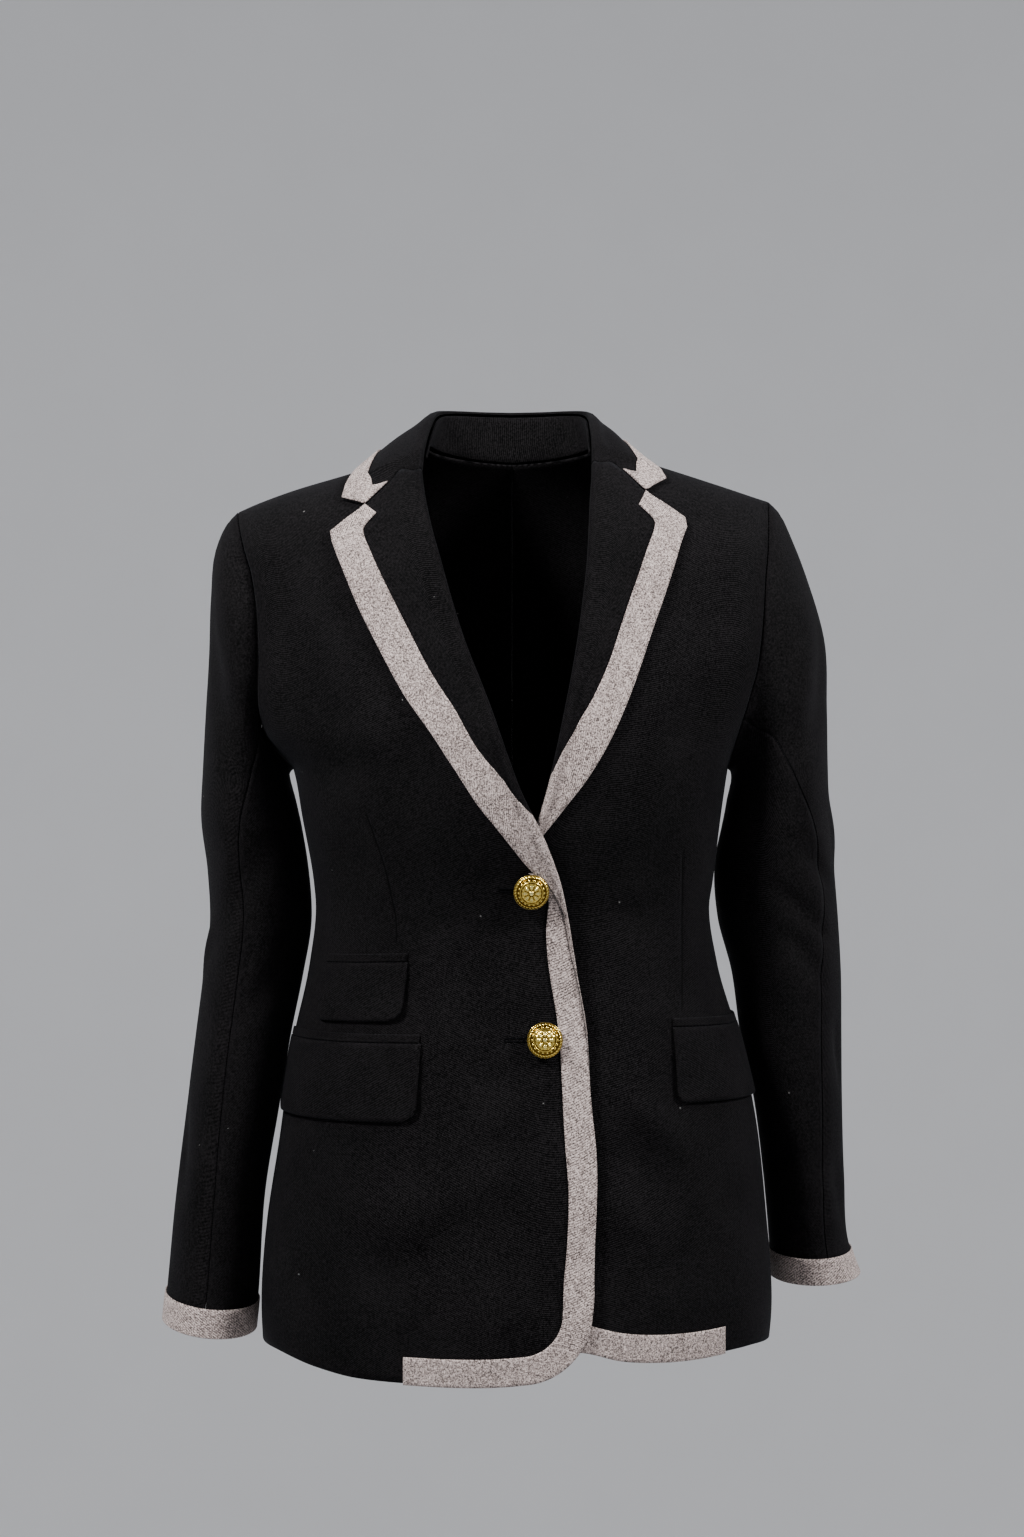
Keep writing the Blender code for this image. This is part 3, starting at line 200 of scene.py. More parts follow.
def bump_at(value, centre, width):
    return np.exp(-((value - centre) / width) ** 2)


def trough(along, across, width, depth):
    """Depth of a fold beside its line, at a share of the way along it."""
    fade = np.sin(math.pi * np.clip(along, 0, 1)) ** 2
    return FOLD_STRENGTH * depth * fade * bump_at(across, 0, width)


def folds(x, z, face):
    """Depth of the soft folds at a place on the front or the back."""
    total = np.zeros(np.broadcast(x, z).shape)
    for x0, z0, x1, z1, width, depth in FOLDS[face].rows:
        length = math.hypot(x1 - x0, z1 - z0)
        along = ((x - x0) * (x1 - x0) + (z - z0) * (z1 - z0)) / length
        across = ((x - x0) * (z1 - z0) - (z - z0) * (x1 - x0)) / length
        total = total + trough(along / length, across, width, depth)
    return total


def depth_at(x, z, face):
    """y of the front (face -1) or back (face 1) at (x, z)."""
    x, z = np.broadcast_arrays(np.asarray(x, float), np.asarray(z, float))
    across = np.clip(np.abs(x) / half_width(x, z, face), 0, 1)
    y = face * (face_value(TORSO, "depth", face, z) * section(across, face) - folds(x, z, face))
    drop = np.clip((ridge(x) - z) / roll_at(x, face), 0, 1)
    return RIDGE_Y + (y - RIDGE_Y) * np.sqrt(1 - (1 - drop) ** 2)


# ---- places on the torso
def place(x, z, face, height):
    """Points at (x, z) of the front or back skin, moved out by `height` along its normal."""
    x, z = np.broadcast_arrays(np.asarray(x, float), np.asarray(z, float))
    roll = roll_at(x, face)
    fall = np.maximum((ridge(x) - z) / roll, 0)
    here = half_width(x, z, face)
    angle = turn_of(x, z, face)
    along = smoothstep(1.3, 1.0, fall)

    def skin(x_near, z_near):
        return np.stack([x_near, depth_at(x_near, z_near, face), z_near], -1)

    def beside(turn):
        x_near = here * np.sin(np.clip(angle + turn, -math.pi / 2, math.pi / 2))
        return skin(x_near, z + (ridge(x_near) - ridge(x)) * along)

    def above(rise):
        z_near = ridge(x) - roll * np.maximum(np.sqrt(fall) + rise, 0) ** 2
        return skin(x * half_width(x, z_near, face) / here, z_near)

    normal = unit(np.cross(beside(NEAR) - beside(-NEAR), above(NEAR) - above(-NEAR)))
    point = skin(x, z)
    outward = point - np.stack([0 * x, 0 * x, z - INSIDE_DROP], -1)
    normal *= np.sign(np.sum(normal * outward, -1, keepdims=True))
    return point + normal * np.asarray(height, float)[..., None]


def turn_of(x, z, face):
    """How far round the section a place lies, in radians from the middle."""
    return np.arcsin(np.clip(x / half_width(x, z, face), -1, 1))


def x_at(turn, z, face):
    return half_width(np.sin(turn), z, face) * np.sin(turn)


# Front opening: the edge below each break and the roll line above it.
OPENING = Table("z right left", [
    (0, -62, 56), (-17, -63.8, 56.6), (-47, -59.8, 54.3), (-65, -55.9, 53.2), (-101, -45.8, 50.6),
    (-133, -36.7, 46.2), (-160, -27.5, 42.2), (-191, -15, 36), (-222, -4, 29.8), (-255, 8.9, 21.8),
    (-277, 20.2, 14.5), (-301, 29.6, 3.5), (-314, 33.4, -1), (-340, 38.4, -5), (-379, 44.3, -6),
    (-415, 50.3, -6), (-459, 52.8, -6), (-515, 57, -6), (-580, 53.7, -6), (-648, 53.5, -6),
])
BREAK_Z = {"right": -340.0, "left": -314.0}
CORNER = {  # rounded front corner: centre and radius
    "right": (4.5, -598.0, 49.0),
    "left": (49.0, -572.0, 55.0),
}
HEM = Table("x z", [
    (-186, -646), (-165, -642), (-137, -645.5), (-104, -649), (-74, -649.5), (4.5, -647.5),
    (30, -638), (49, -627.5), (66, -632), (86, -635.2), (117, -637), (146, -636.5), (166, -637.5),
    (180, -641), (189, -646),
])
SIGN = {"right": -1, "left": 1}
FORWARD = np.array([0.0, -1.0, 0.0])
FRONT_LIFT = 4.6  # how far out the right front lies where it covers the left one
LAPEL_LIFT = 3.4  # and how much further where the lapels cross


def lift(x, z, side):
    """The closed right front lies on the left one, and further out where the lapels cross."""
    if side == "left":
        return np.zeros(np.broadcast(x, z).shape)
    crossing = FRONT_LIFT + LAPEL_LIFT * smoothstep(-350, -285, z)
    return crossing * smoothstep(-78, -14, x)


def on_front(x, z, side, height):
    """A place on a front panel, moved out from that panel's outer face."""
    return place(x, z, -1, lift(x, z, side) + height)


# ---- torso panels
HEM_ROWS = 16  # rows between the hem and the first lower row
LOWER_ROWS = tuple(range(-560, -239, 5))
SIDE_ROWS = HEM_ROWS + len(LOWER_ROWS) + 1  # rows of a panel along its side seam
# Upper rows run from the underarm (0) over the chest (1) to the shoulder seam (2).
UPPER_ROWS = tuple(np.round(np.concatenate([np.linspace(0, 1, 21), np.linspace(1, 2, 25)[1:]]), 3))
BACK_NECK_Z = -4.0
HEM_SIDE_X = 186.0  # where the back's hem meets the side seam
COLLAR_GAP = 2.0  # the shoulder seam starts this far outside the side neck point
CENTRE_GAP = 0.004  # half the gap in the centre back seam
LAPEL_SET = 2.6  # how much further the panel is set back under the lapel


def upper_z(x, level, face):
    """Height of an upper row at x."""
    roll = roll_at(x, face)
    top = np.where((np.abs(x) < NECK_X) & (face > 0),
                   BACK_NECK_Z * (1 - (np.abs(x) / NECK_X) ** 2), ridge(x))
    turn_end = np.arccos(np.clip(1 - (ridge(x) - top) / roll, -1, 1))
    if level <= 1:
        return UNDERARM_Z + (ridge(x) - roll - UNDERARM_Z) * level
    turn = math.pi / 2 + (turn_end - math.pi / 2) * (level - 1)
    return ridge(x) - roll * (1 - np.cos(turn))


def settle(x_of, level, face, x):
    """x and z of an upper row on a line x = x_of(z), found by repeated substitution."""
    for _ in range(30):
        z = upper_z(x, level, face)
        x = 0.5 * x + 0.5 * x_of(z)
    return x, upper_z(x, level, face)


SHOULDER_X = {"right": 200.0, "left": 186.0}


def armhole_x(z, side):
    return SIGN[side] * TORSO.read(side, z)


def armhole_point(side, level, face):
    """(x, z) where an upper row meets the armhole."""
    if level >= 2:
        x = SIGN[side] * SHOULDER_X[side]
        return x, float(ridge(x))
    x, z = settle(lambda h: armhole_x(h, side), level, face, SIGN[side] * SHOULDER_X[side])
    return float(x), float(z)


def panel_inner_x(z, side):
    """Inner edge of a front panel: set back under the trim, and further under the lapel."""
    setback = EDGE_SET + LAPEL_SET * smoothstep(BREAK_Z[side] - 6, BREAK_Z[side] + 8, z)
    return OPENING.read(side, z) + SIGN[side] * setback


def row_x(x_in, x_out, z, face, shares):
    """x along a level row, evenly turned round the section from x_in to x_out."""
    start, end = turn_of(x_in, z, face), turn_of(x_out, z, face)
    return x_at(start + (end - start) * shares, z, face)


def hem_rows(hem_x, hem_z, top_x, side):
    """Rows from the hem up to, but not with, the first lower row."""
    rows = []
    for share in np.linspace(0, 1, HEM_ROWS + 1)[:-1]:
        x = hem_x + (top_x - hem_x) * share
        z = hem_z + (LOWER_ROWS[0] - hem_z) * share
        x[-1] = armhole_x(z[-1], side)
        rows.append((x, z))
    return rows


def panel_rows(side, face, rows, shares, inner_x, inner_top, top_x=None):
    """Grids of x and z: the hem's rows, then the lower and the upper ones.

    inner_x(z) is the panel's inner edge, inner_top the end of its top row, and top_x that row
    itself where its columns are given.
    """
    for z in LOWER_ROWS:
        x = row_x(inner_x(z), armhole_x(z, side), z, face, shares)
        rows.append((x, np.full_like(x, z)))
    for level in UPPER_ROWS:
        x_in = inner_top if level >= 2 else float(settle(inner_x, level, face, inner_top)[0])
        x_out, z_out = armhole_point(side, level, face)
        turn_out = turn_of(x_out, z_out, face)
        x = np.linspace(x_in, x_out, len(shares))
        for _ in range(12):
            z = upper_z(x, level, face)
            turn_in = turn_of(x_in, z[0], face)
            x = x_at(turn_in + (turn_out - turn_in) * shares, z, face)
            x[0], x[-1] = x_in, x_out
        if level >= 2 and top_x is not None:
            x = top_x
        z = upper_z(x, level, face)
        z[-1] = z_out
        rows.append((x, z))
    return [np.array(lines) for lines in zip(*rows)]


# Columns of the panels' grids, each count with both ends of its stretch.
CORNER_COLS, FRONT_COLS = 15, 41
NECK_COLS, SHOULDER_COLS = 15, 31


def front_grid(side):
    """(x, z) of the rows and columns of a front panel, from the hem to the shoulder seam."""
    centre_x, centre_z, radius = CORNER[side]
    radius -= EDGE_SET
    sign, level_z = SIGN[side], LOWER_ROWS[0]
    arc = np.radians(np.linspace(0, 90, CORNER_COLS))
    corner_x = centre_x - sign * radius * np.cos(arc)
    start = turn_of(corner_x, level_z, -1)
    shares = np.abs(start - start[0]) / abs(sign * math.pi / 2 - start[0])
    shares = np.concatenate([shares, np.linspace(shares[-1], 1, FRONT_COLS)[1:]])
    level_x = row_x(corner_x[0], armhole_x(level_z, side), level_z, -1, shares)
    turn = turn_of(level_x, level_z, -1)
    hem_x = level_x
    for _ in range(5):
        hem_x = x_at(turn, HEM.read("z", hem_x) + EDGE_SET, -1)
    hem_x[:len(arc)] = corner_x
    hem_z = HEM.read("z", hem_x) + EDGE_SET
    hem_z[:len(arc)] = centre_z - radius * np.sin(arc)
    return panel_rows(side, -1, hem_rows(hem_x, hem_z, level_x, side), shares,
                      lambda z: panel_inner_x(z, side), sign * (NECK_X + COLLAR_GAP))


def back_grid(side):
    """(x, z) of the rows and columns of a back panel, from the hem to the shoulder seam."""
    sign, level_z = SIGN[side], LOWER_ROWS[0]
    top_x = np.append(np.linspace(0, NECK_X, NECK_COLS),
                      np.linspace(NECK_X, SHOULDER_X[side], SHOULDER_COLS)[1:])
    turn = turn_of(sign * top_x, upper_z(top_x, 2, 1), 1)
    shares = turn / turn[-1]
    hem_z = np.linspace(HEM_Z, float(HEM.read("z", sign * HEM_SIDE_X)) + EDGE_SET, len(shares))
    hem_x = armhole_x(hem_z, side) * np.sin(shares * math.pi / 2)
    level_x = row_x(0.0, armhole_x(level_z, side), level_z, 1, shares)
    return panel_rows(side, 1, hem_rows(hem_x, hem_z, level_x, side), shares, lambda z: 0.0, 0.0,
                      sign * top_x)


# ---- sleeves
# A row for each ring of a sleeve: its outermost and innermost points (x away from the middle),
# its front and back, and where the front seam lies (degrees round from the outermost point to
# the front).
SLEEVE = {
    "right": Table("ring outer_x outer_z inner_x inner_z front back seam", [
        (0, 200, -47, 158.6, -234.5, -57, 62, 137), (1, 208.5, -56, 161, -235.8, -60, 66, 130),
        (2, 216, -74, 162.5, -238, -62, 68, 122), (3, 219.2, -107, 163, -241, -62, 69, 115),
        (4, 220.5, -150, 162.5, -245, -62, 69, 108), (5, 223, -195, 161, -250.5, -62, 68, 102),
        (6, 225, -232, 158.5, -259, -61, 67, 97), (7, 226.5, -268, 154.5, -276, -60, 65, 89),
        (8, 222, -308, 149, -310, -56, 62, 79), (9, 220.3, -347, 147, -347, -54, 59, 80),
        (10, 225, -385, 153, -385, -54, 57, 82), (11, 230.5, -430, 162, -430, -55, 54, 84),
        (12, 237, -485, 170.5, -484, -56, 49, 87), (13, 244, -548, 180, -545, -57, 41, 93),
        (14, 249.5, -610, 184.5, -619.5, -57, 34, 92), (15, 251.5, -630, 186.5, -640, -58, 33, 91),
    ]),
    "left": Table("ring outer_x outer_z inner_x inner_z front back seam", [
        (0, 186, -41, 156.4, -234.5, -57, 62, 137), (1, 194, -47.5, 159, -235.5, -57, 66, 126),
        (2, 205, -69, 160.5, -238, -57, 69, 116), (3, 217, -100, 161.5, -241, -57, 72, 105),
        (4, 228, -138, 161.5, -245, -56, 74, 95), (5, 230.5, -190, 160.5, -250, -54, 76, 84),
        (6, 231.5, -232, 158.5, -259, -51, 77, 73), (7, 233.5, -270, 155, -278, -47, 78, 58),
        (8, 237, -306, 150, -306, -43, 79, 48), (9, 240.5, -345, 152.5, -345, -38, 79, 50),
        (10, 243, -385, 163, -385, -33, 78, 60), (11, 243.7, -430, 169.5, -430, -28, 77, 64),
        (12, 244.5, -480, 180, -480, -22, 76, 68), (13, 246.5, -535, 187, -533, -16, 75, 73),
        (14, 251.5, -590, 192.5, -591.5, -9, 76, 75), (15, 258.5, -609, 194, -612, -7, 77, 75),
    ]),
}
# How much a ring keeps of the armhole's own outline, and of the spacing of its points.
ARMHOLE_FADE = Table("ring outline turn", [
    (0, 1, 1), (1, 0.75, 0.95), (2, 0.5, 0.85), (3, 0.25, 0.7), (4, 0.08, 0.5), (5, 0, 0.3),
    (6, 0, 0.12), (7, 0, 0),
])
CUFF_RING = 14.0  # the cuff's trim starts at this ring
SLEEVE_END = 14.95  # the sleeve's cloth ends at this one, just inside the trim's end
CHEST_Z = -120.0  # the sleeves lie beside the torso below this height
SLEEVE_CLEARANCE = 1.6  # from the torso to a sleeve's rings
LEAST_CLEARANCE = 1.2  # and to its finer rows between them
SIDE_REACH = 3.0  # the torso's side starts this far inside its seams
ARMHOLE_GAP = 0.16  # between a sleeve's first ring and the panels' edge
SEAM_LEVEL = {"front": 0.3, "back": 0.5}  # upper rows where the sleeve seams meet the armhole


def armhole_ring(side):
    """Outer and inner points round the armhole, down its front and up its back.

    Also gives the columns of the front seam and of the back seam.
    """
    spots = [(level, -1) for level in reversed(UPPER_ROWS)]
    spots += [(level, 1) for level in UPPER_ROWS[1:-1]]
    outer, inner, seams = [], [], {}
    for k, (level, face) in enumerate(spots):
        x, z = armhole_point(side, level, face)
        ends = [place(x, z, face, height) for height in (0.0, -CLOTH)]
        if outer and max(level, spots[k - 1][0]) <= SEAM_LEVEL["back"]:
            outer.append((outer[-1] + ends[0]) / 2)
            inner.append((inner[-1] + ends[1]) / 2)
        if level == SEAM_LEVEL["front" if face < 0 else "back"]:
            seams[face] = len(outer)
        outer.append(ends[0])
        inner.append(ends[1])
    return np.array(outer), np.array(inner), seams[-1], seams[1]


def oval(side, ring, turn):
    """Point of a sleeve's ring at `turn` radians from its outermost point."""
    table = SLEEVE[side]
    outer, inner = table.spot("outer", ring), table.spot("inner", ring)
    front, back = table.read("front", ring), table.read("back", ring)
    x, z = [(outer[k] + inner[k]) / 2 + (outer[k] - inner[k]) / 2 * np.cos(turn) for k in (0, 1)]
    y = (front + back) / 2 - (back - front) / 2 * np.sin(turn)
    return np.stack([SIGN[side] * x, y, z + 0 * x], -1)


def beside_torso(points, clearance):
    """Keep points of a sleeve outside the torso's skin below the chest."""
    x, y, z = np.moveaxis(points, -1, 0)
    limit = np.zeros(x.shape)
    for face in (-1, 1):
        depth, seam = [face_value(TORSO, name, face, z) for name in ("depth", "seam")]
        reach = half_width(x, z, face) * section(np.clip(np.abs(y) / depth, 0, 1), face)
        beside = (y * face > 0) & (z <= CHEST_Z) & (np.abs(y) >= seam - SIDE_REACH)
        limit = np.where(beside, reach + clearance, limit)
    points[..., 0] = np.sign(x) * np.maximum(np.abs(x), limit)
    return points


def sleeve_rings(side):
    """Outer grid of a whole sleeve, a row for each ring, and the inner points of the first."""
    loop, loop_inner, front_seam, back_seam = armhole_ring(side)
    count = len(loop)
    table = SLEEVE[side]
    middle = (oval(side, 0, 0.0) + oval(side, 0, math.pi)) / 2
    reach = oval(side, 0, 0.0) - middle
    depth = (table.read("back", 0) - table.read("front", 0)) / 2
    sine = -(loop[:, 1] - middle[1]) / depth
    cosine = (loop - middle) @ reach / (reach @ reach)
    own_turn = np.unwrap(np.arctan2(sine, cosine))
    own_turn -= 2 * math.pi * round(own_turn[0] / (2 * math.pi))
    rest = loop - oval(side, 0, own_turn)
    grid = []
    for ring in table.column("ring"):
        seam = math.radians(float(table.read("seam", ring)))
        knots = [0, front_seam, back_seam, count]
        turn = np.interp(np.arange(count), knots, [0, seam, seam + math.pi, 2 * math.pi])
        turn = turn + (own_turn - turn) * float(ARMHOLE_FADE.read("turn", ring))
        outline = rest * float(ARMHOLE_FADE.read("outline", ring))
        grid.append(beside_torso(oval(side, ring, turn) + outline, SLEEVE_CLEARANCE))
    grid = np.array(grid)
    grid[0], start = seat_on_armhole(side, loop, loop_inner, grid[1])
    return grid, start, front_seam, back_seam


def seat_on_armhole(side, loop, loop_inner, following):
    """First ring of a sleeve, outer and inner, against the edge of the armhole.

    The sleeve's wall turns with the fold between it and the panel, from edge to edge where they
    run on into each other to face to face where the sleeve folds back under the arm.
    """
    tangent = unit(np.roll(loop, -1, 0) - np.roll(loop, 1, 0))
    outward = unit(loop - loop_inner)
    away = unit(np.cross(tangent, outward))
    away *= np.sign(away[0, 0]) * SIGN[side]
    run = following - loop
    fold = np.arctan2(np.sum(run * outward, -1), np.sum(run * away, -1))
    fold = np.clip(fold, 0, math.pi)[:, None]
    gap = ARMHOLE_GAP * (away * np.cos(fold / 2) + outward * np.sin(fold / 2))
    wall = CLOTH * (away * np.sin(fold) - outward * np.cos(fold))
    return loop + gap, loop + gap + wall


# ---- lapels
# A row for each line across a lapel: its end on the outer edge, where it crosses the inner line
# of the trim, and its height on the roll line. The first row is the gorge and the top edge.
LAPEL = {
    "right": Table("row outer_x outer_z inner_x inner_z roll_z", [
        (0, -126.2, -70.2, -102.2, -50.4, -24.5), (1, -124.5, -78, -94, -57.6, -36),
        (2, -120.5, -88, -102.7, -69.3, -48), (3, -113.5, -104, -95.5, -89, -66),
        (4, -102.6, -128.5, -84.5, -112, -92), (5, -87.6, -158.4, -71.4, -138, -120),
        (6, -70.8, -188, -54.5, -170, -150), (7, -52.4, -213, -38, -196, -178),
        (8, -34.2, -240, -20, -225, -206), (9, -21.5, -258.7, -8, -239.5, -226),
        (10, -5, -279, 6.3, -256, -252), (11, 2.2, -288, 14.9, -266.5, -266.5),
        (12, 9.5, -297.3, 21.8, -281.5, -281), (13, 16.9, -305.5, 26.8, -293, -293),
        (14, 26.4, -315.8, 31.3, -307, -307), (15, 31.9, -325.5, 34.8, -320, -320),
        (16, 35.2, -337, 37.4, -334, -334), (17, 37.9, -351, 39.9, -350, -350),
        (18, 41.6, -372, 43.1, -371.5, -371.5), (19, 45.7, -395, 46.9, -394.7, -394.7),
        (20, 49.6, -416, 50.4, -415.9, -415.9),
    ]),
    "left": Table("row outer_x outer_z inner_x inner_z roll_z", [
        (0, 120.5, -60.2, 93.4, -40.6, -18), (1, 121.5, -67, 88, -51.6, -30),
        (2, 117.4, -77, 98.8, -64.1, -44), (3, 111.5, -95, 92.4, -84.8, -66),
        (4, 103.5, -117.5, 84, -108.5, -92), (5, 94, -144.5, 75, -134.3, -120),
        (6, 84.5, -172, 65.7, -162, -150), (7, 75, -196, 56.5, -183, -176),
        (8, 62.5, -221.5, 46, -203, -200), (9, 49.5, -242.5, 33, -224, -221),
        (10, 38, -257.5, 25.6, -241, -241), (11, 29.2, -269, 21.8, -257.5, -257),
        (12, 22.3, -277.5, 17.5, -268, -268), (13, 15.5, -286, 12.5, -279, -279),
    ]),
}
GORGE = {  # the line between collar and lapel, from the roll line to the notch
    "right": ((-77.8, -24.5), (-85.9, -33.9), (-102.4, -50.6)),
    "left": ((68.8, -18.9), (77.1, -24.4), (93.4, -40.6)),
}
COLLAR_TIP = {"right": (-119.8, -45.3), "left": (109.4, -30.7)}
LAPEL_END = 10  # row where the lapel's cloth ends; its trim runs on to the break
ALL_TRIM = {"right": 10, "left": 9}  # row from which the trim covers the lapel up to the roll
# Across the lapel and the collar from the roll: distance from it, and height above the panel.
ROLL_STEPS = ((0.0, -1.8), (1.2, 2.8), (5.0, 4.2))
LEAF_HEIGHTS = [height for _, height in ROLL_STEPS] + [3.2, 2.7, 2.1, 2.1, 2.1]
# The lapel's and the collar's columns run from the roll (0) by the trim's inner line (5) to the
# outer edge (7).
BAND_COL = 5.0
EDGE_COL = 7.0


ROLL_SHARES = (0, 0.12, 0.4)  # of the lapel's width, the most that its first columns take
NARROW = 2.0  # where less cloth than this lies between the lapel's roll and its trim,
NARROW_SHARE = 0.25  # the cloth takes this share of the width past the roll


def roll_spot(side, row):
    z = float(LAPEL[side].read("roll_z", row))
    return np.array([float(OPENING.read(side, z)), z])


def lapel_grid(side):
    """(x, z, height) over a lapel: three columns on the roll, two on the cloth, three on the trim."""
    table = LAPEL[side]
    grid = []
    for row in table.column("row"):
        outer, band, roll = table.spot("outer", row), table.spot("inner", row), roll_spot(side, row)
        width = np.linalg.norm(outer - roll)
        ahead = (outer - roll) / width
        steps = [min(step, share * width) for (step, _), share in zip(ROLL_STEPS, ROLL_SHARES)]
        points = [roll + ahead * step for step in steps]
        if np.linalg.norm(band - roll) < steps[2] + NARROW:
            band = roll + ahead * (steps[2] + NARROW_SHARE * (width - steps[2]))
        points += [points[2] + (band - points[2]) * share for share in (1 / 3, 2 / 3)]
        points += [band, (band + outer) / 2, outer]
        if row == 0:
            points[3:6] = np.array(GORGE[side])
            points[6] = (points[5] + points[7]) / 2
        heights = np.array(LEAF_HEIGHTS)
        heights[1:] *= 1 - 0.5 * float(smoothstep(LAPEL_END - 1, LAPEL_END + 1, row))
        grid.append([(*point, height) for point, height in zip(points, heights)])
    return np.array(grid)


# ---- collar
# From the gorge (0) over the shoulder seam (3) to the middle of the back (7): the fold, and the
# outer edge on the front (up to 3) or the back of the torso.
COLLAR = {
    "right": Table("t fold_x fold_y fold_z edge_x edge_z foot_x foot_y foot_z", [
        (0, -63.8, -54, -24.5, -119.8, -45.3, -63, -45, -22),
        (1, -62.5, -37, -8, -118, -36.4, -63.5, -31, -12),
        (2, -59.5, -12, 12, -112.5, -23, -63, -13, -1.5), (3, -57, 10, 25, -107, -16.5, -60.5, 9, 2),
        (4, -53, 32, 32, -99, -20, -55, 25, 0.9), (5, -38, 50, 35, -75, -19, -40, 41, -1.2),
        (6, -19, 58, 35.5, -38, -17, -20, 54, -2.6), (7, 0, 60, 35.5, 0, -16, 0, 59.5, -3.2),
    ]),
    "left": Table("t fold_x fold_y fold_z edge_x edge_z foot_x foot_y foot_z", [
        (0, 56.8, -48, -18, 109.4, -30.7, 57, -41, -16), (1, 56.8, -34, -4, 106.2, -23.6, 58, -29, -9),
        (2, 56.6, -12, 13, 98.4, -15.6, 60.2, -13, -1.5), (3, 56.3, 10, 25, 90.8, -10.2, 60.5, 9, 2),
        (4, 52.5, 32, 32, 84.5, -15, 55, 25, 0.9), (5, 38, 50, 35, 68, -17, 40, 41, -1.2),
        (6, 19, 58, 35.5, 36, -16.5, 20, 54, -2.6), (7, 0, 60, 35.5, 0, -16, 0, 59.5, -3.2),
    ]),
}
# Over the fold behind the neck: distance down the leaf, and height off its chord.
FOLD_STEPS = ((1.8, -2.6), (0.0, -0.6), (1.4, 1.8))
CHORD_RISE = (3.2, 3.6, 2.4, 1.3, 0.0)
COLLAR_CLEARANCE = 2.1  # least height of the collar's leaf over the torso
STAND_DROP = 4.2  # the stand ends this far under the fold, and a little inside it
STAND_INSET = 1.2
COLLAR_LINES = [1 + k / 2 for k in range(13)]


def collar_line(side, t, name):
    if name != "edge":
        return COLLAR[side].spot(name, t, "xyz")
    x, z = COLLAR[side].spot("edge", t)
    return place(x, min(z, float(ridge(x))), -1 if t < 3 else 1, LEAF_HEIGHTS[-1])


RIDGE_MARGIN = 0.05  # keeps a point off the ridge itself
LINE_STEP = 0.05  # part of a collar line that gives the direction along the collar


def rest_on_torso(point):
    """Move a point out of the torso's skin where it would come closer than the clearance."""
    x, y, z = point
    if z > float(ridge(x)) + COLLAR_CLEARANCE:
        return point
    face = -1 if y < RIDGE_Y else 1
    foot = place(x, min(z, float(ridge(x)) - RIDGE_MARGIN), face, COLLAR_CLEARANCE)
    return np.array([x, foot[1], z]) if (y - foot[1]) * face < 0 else point


def collar_row(side, t):
    """Outer points of the turned-down collar across one line, from the fold to its edge."""
    if t == 0:
        roll, (first, second, notch) = roll_spot(side, 0), np.array(GORGE[side])
        spots = [roll + unit(first - roll) * step for step, _ in ROLL_STEPS]
        spots += [first, (first + second) / 2, second, notch, COLLAR_TIP[side]]
        return np.array([place(*spot, -1, height) for spot, height in zip(spots, LEAF_HEIGHTS)])
    fold, edge = collar_line(side, t, "fold"), collar_line(side, t, "edge")
    length = np.linalg.norm(edge - fold)
    chord = (edge - fold) / length
    late, early = min(t + LINE_STEP, COLLAR_LINES[-1]), t - LINE_STEP
    along = sum(collar_line(side, late, end) - collar_line(side, early, end)
                for end in ("fold", "edge"))
    rise = -SIGN[side] * unit(np.cross(along, chord))
    back = float(smoothstep(0.0, 2.5, t))
    places = list(np.array(ROLL_STEPS) * (1 - back) + np.array(FOLD_STEPS) * back)
    start, band = places[2][0], length - TRIM_WIDTH
    reach = [start + (band - start) * share for share in (1 / 3, 2 / 3)]
    places += zip(reach + [band, (band + length) / 2, length], CHORD_RISE)
    points = [fold + chord * down + rise * out for down, out in places]
    return np.array(points[:3] + [rest_on_torso(point) for point in points[3:]])


def stand_row(side, t):
    """Points up the collar's stand, from its foot to just under the fold."""
    foot, fold = collar_line(side, t, "foot"), collar_line(side, t, "fold")
    top = fold - unit(fold * (1, 1, 0)) * STAND_INSET - (0, 0, STAND_DROP)
    return [foot + (top - foot) * share for share in (0, 0.5, 1)]


def round_neck(row, ts):
    """row(side, t) from the right end of the collar round the neck to its left end."""
    return np.array([row("right", t) for t in ts] + [row("left", t) for t in ts[-2::-1]])


# ---- front trims
TRIM_TOP = {"right": -303.0, "left": -293.0}
HEM_TRIM_END = {"right": -73.2, "left": 146.0}
TRIM_ROWS = (-293, -303, -312, -322, -332, -342, -360, -380, -405, -430, -459, -490, -520, -550,
             -575)
# Inner line of the trim down each front edge, from where the lapel's fold uncovers it.
EDGE_TRIM = Table("z right left", [
    (-293, 11, 14), (-303, 11, 13.5), (-312, 20.3, 13), (-322, 24.2, 13), (-346, 22.9, 13),
    (-363, 23.9, 13), (-379, 26, 13), (-396, 28.7, 13), (-416, 31.6, 13), (-459, 33.8, 13),
    (-493, 35.6, 13), (-521, 37.7, 13), (-547, 37, 13), (-577, 34.9, 13), (-598, 34.5, 13),
])
FOLD_SET = 3.6  # how far the trim's outer line is set back under the lapel's fold


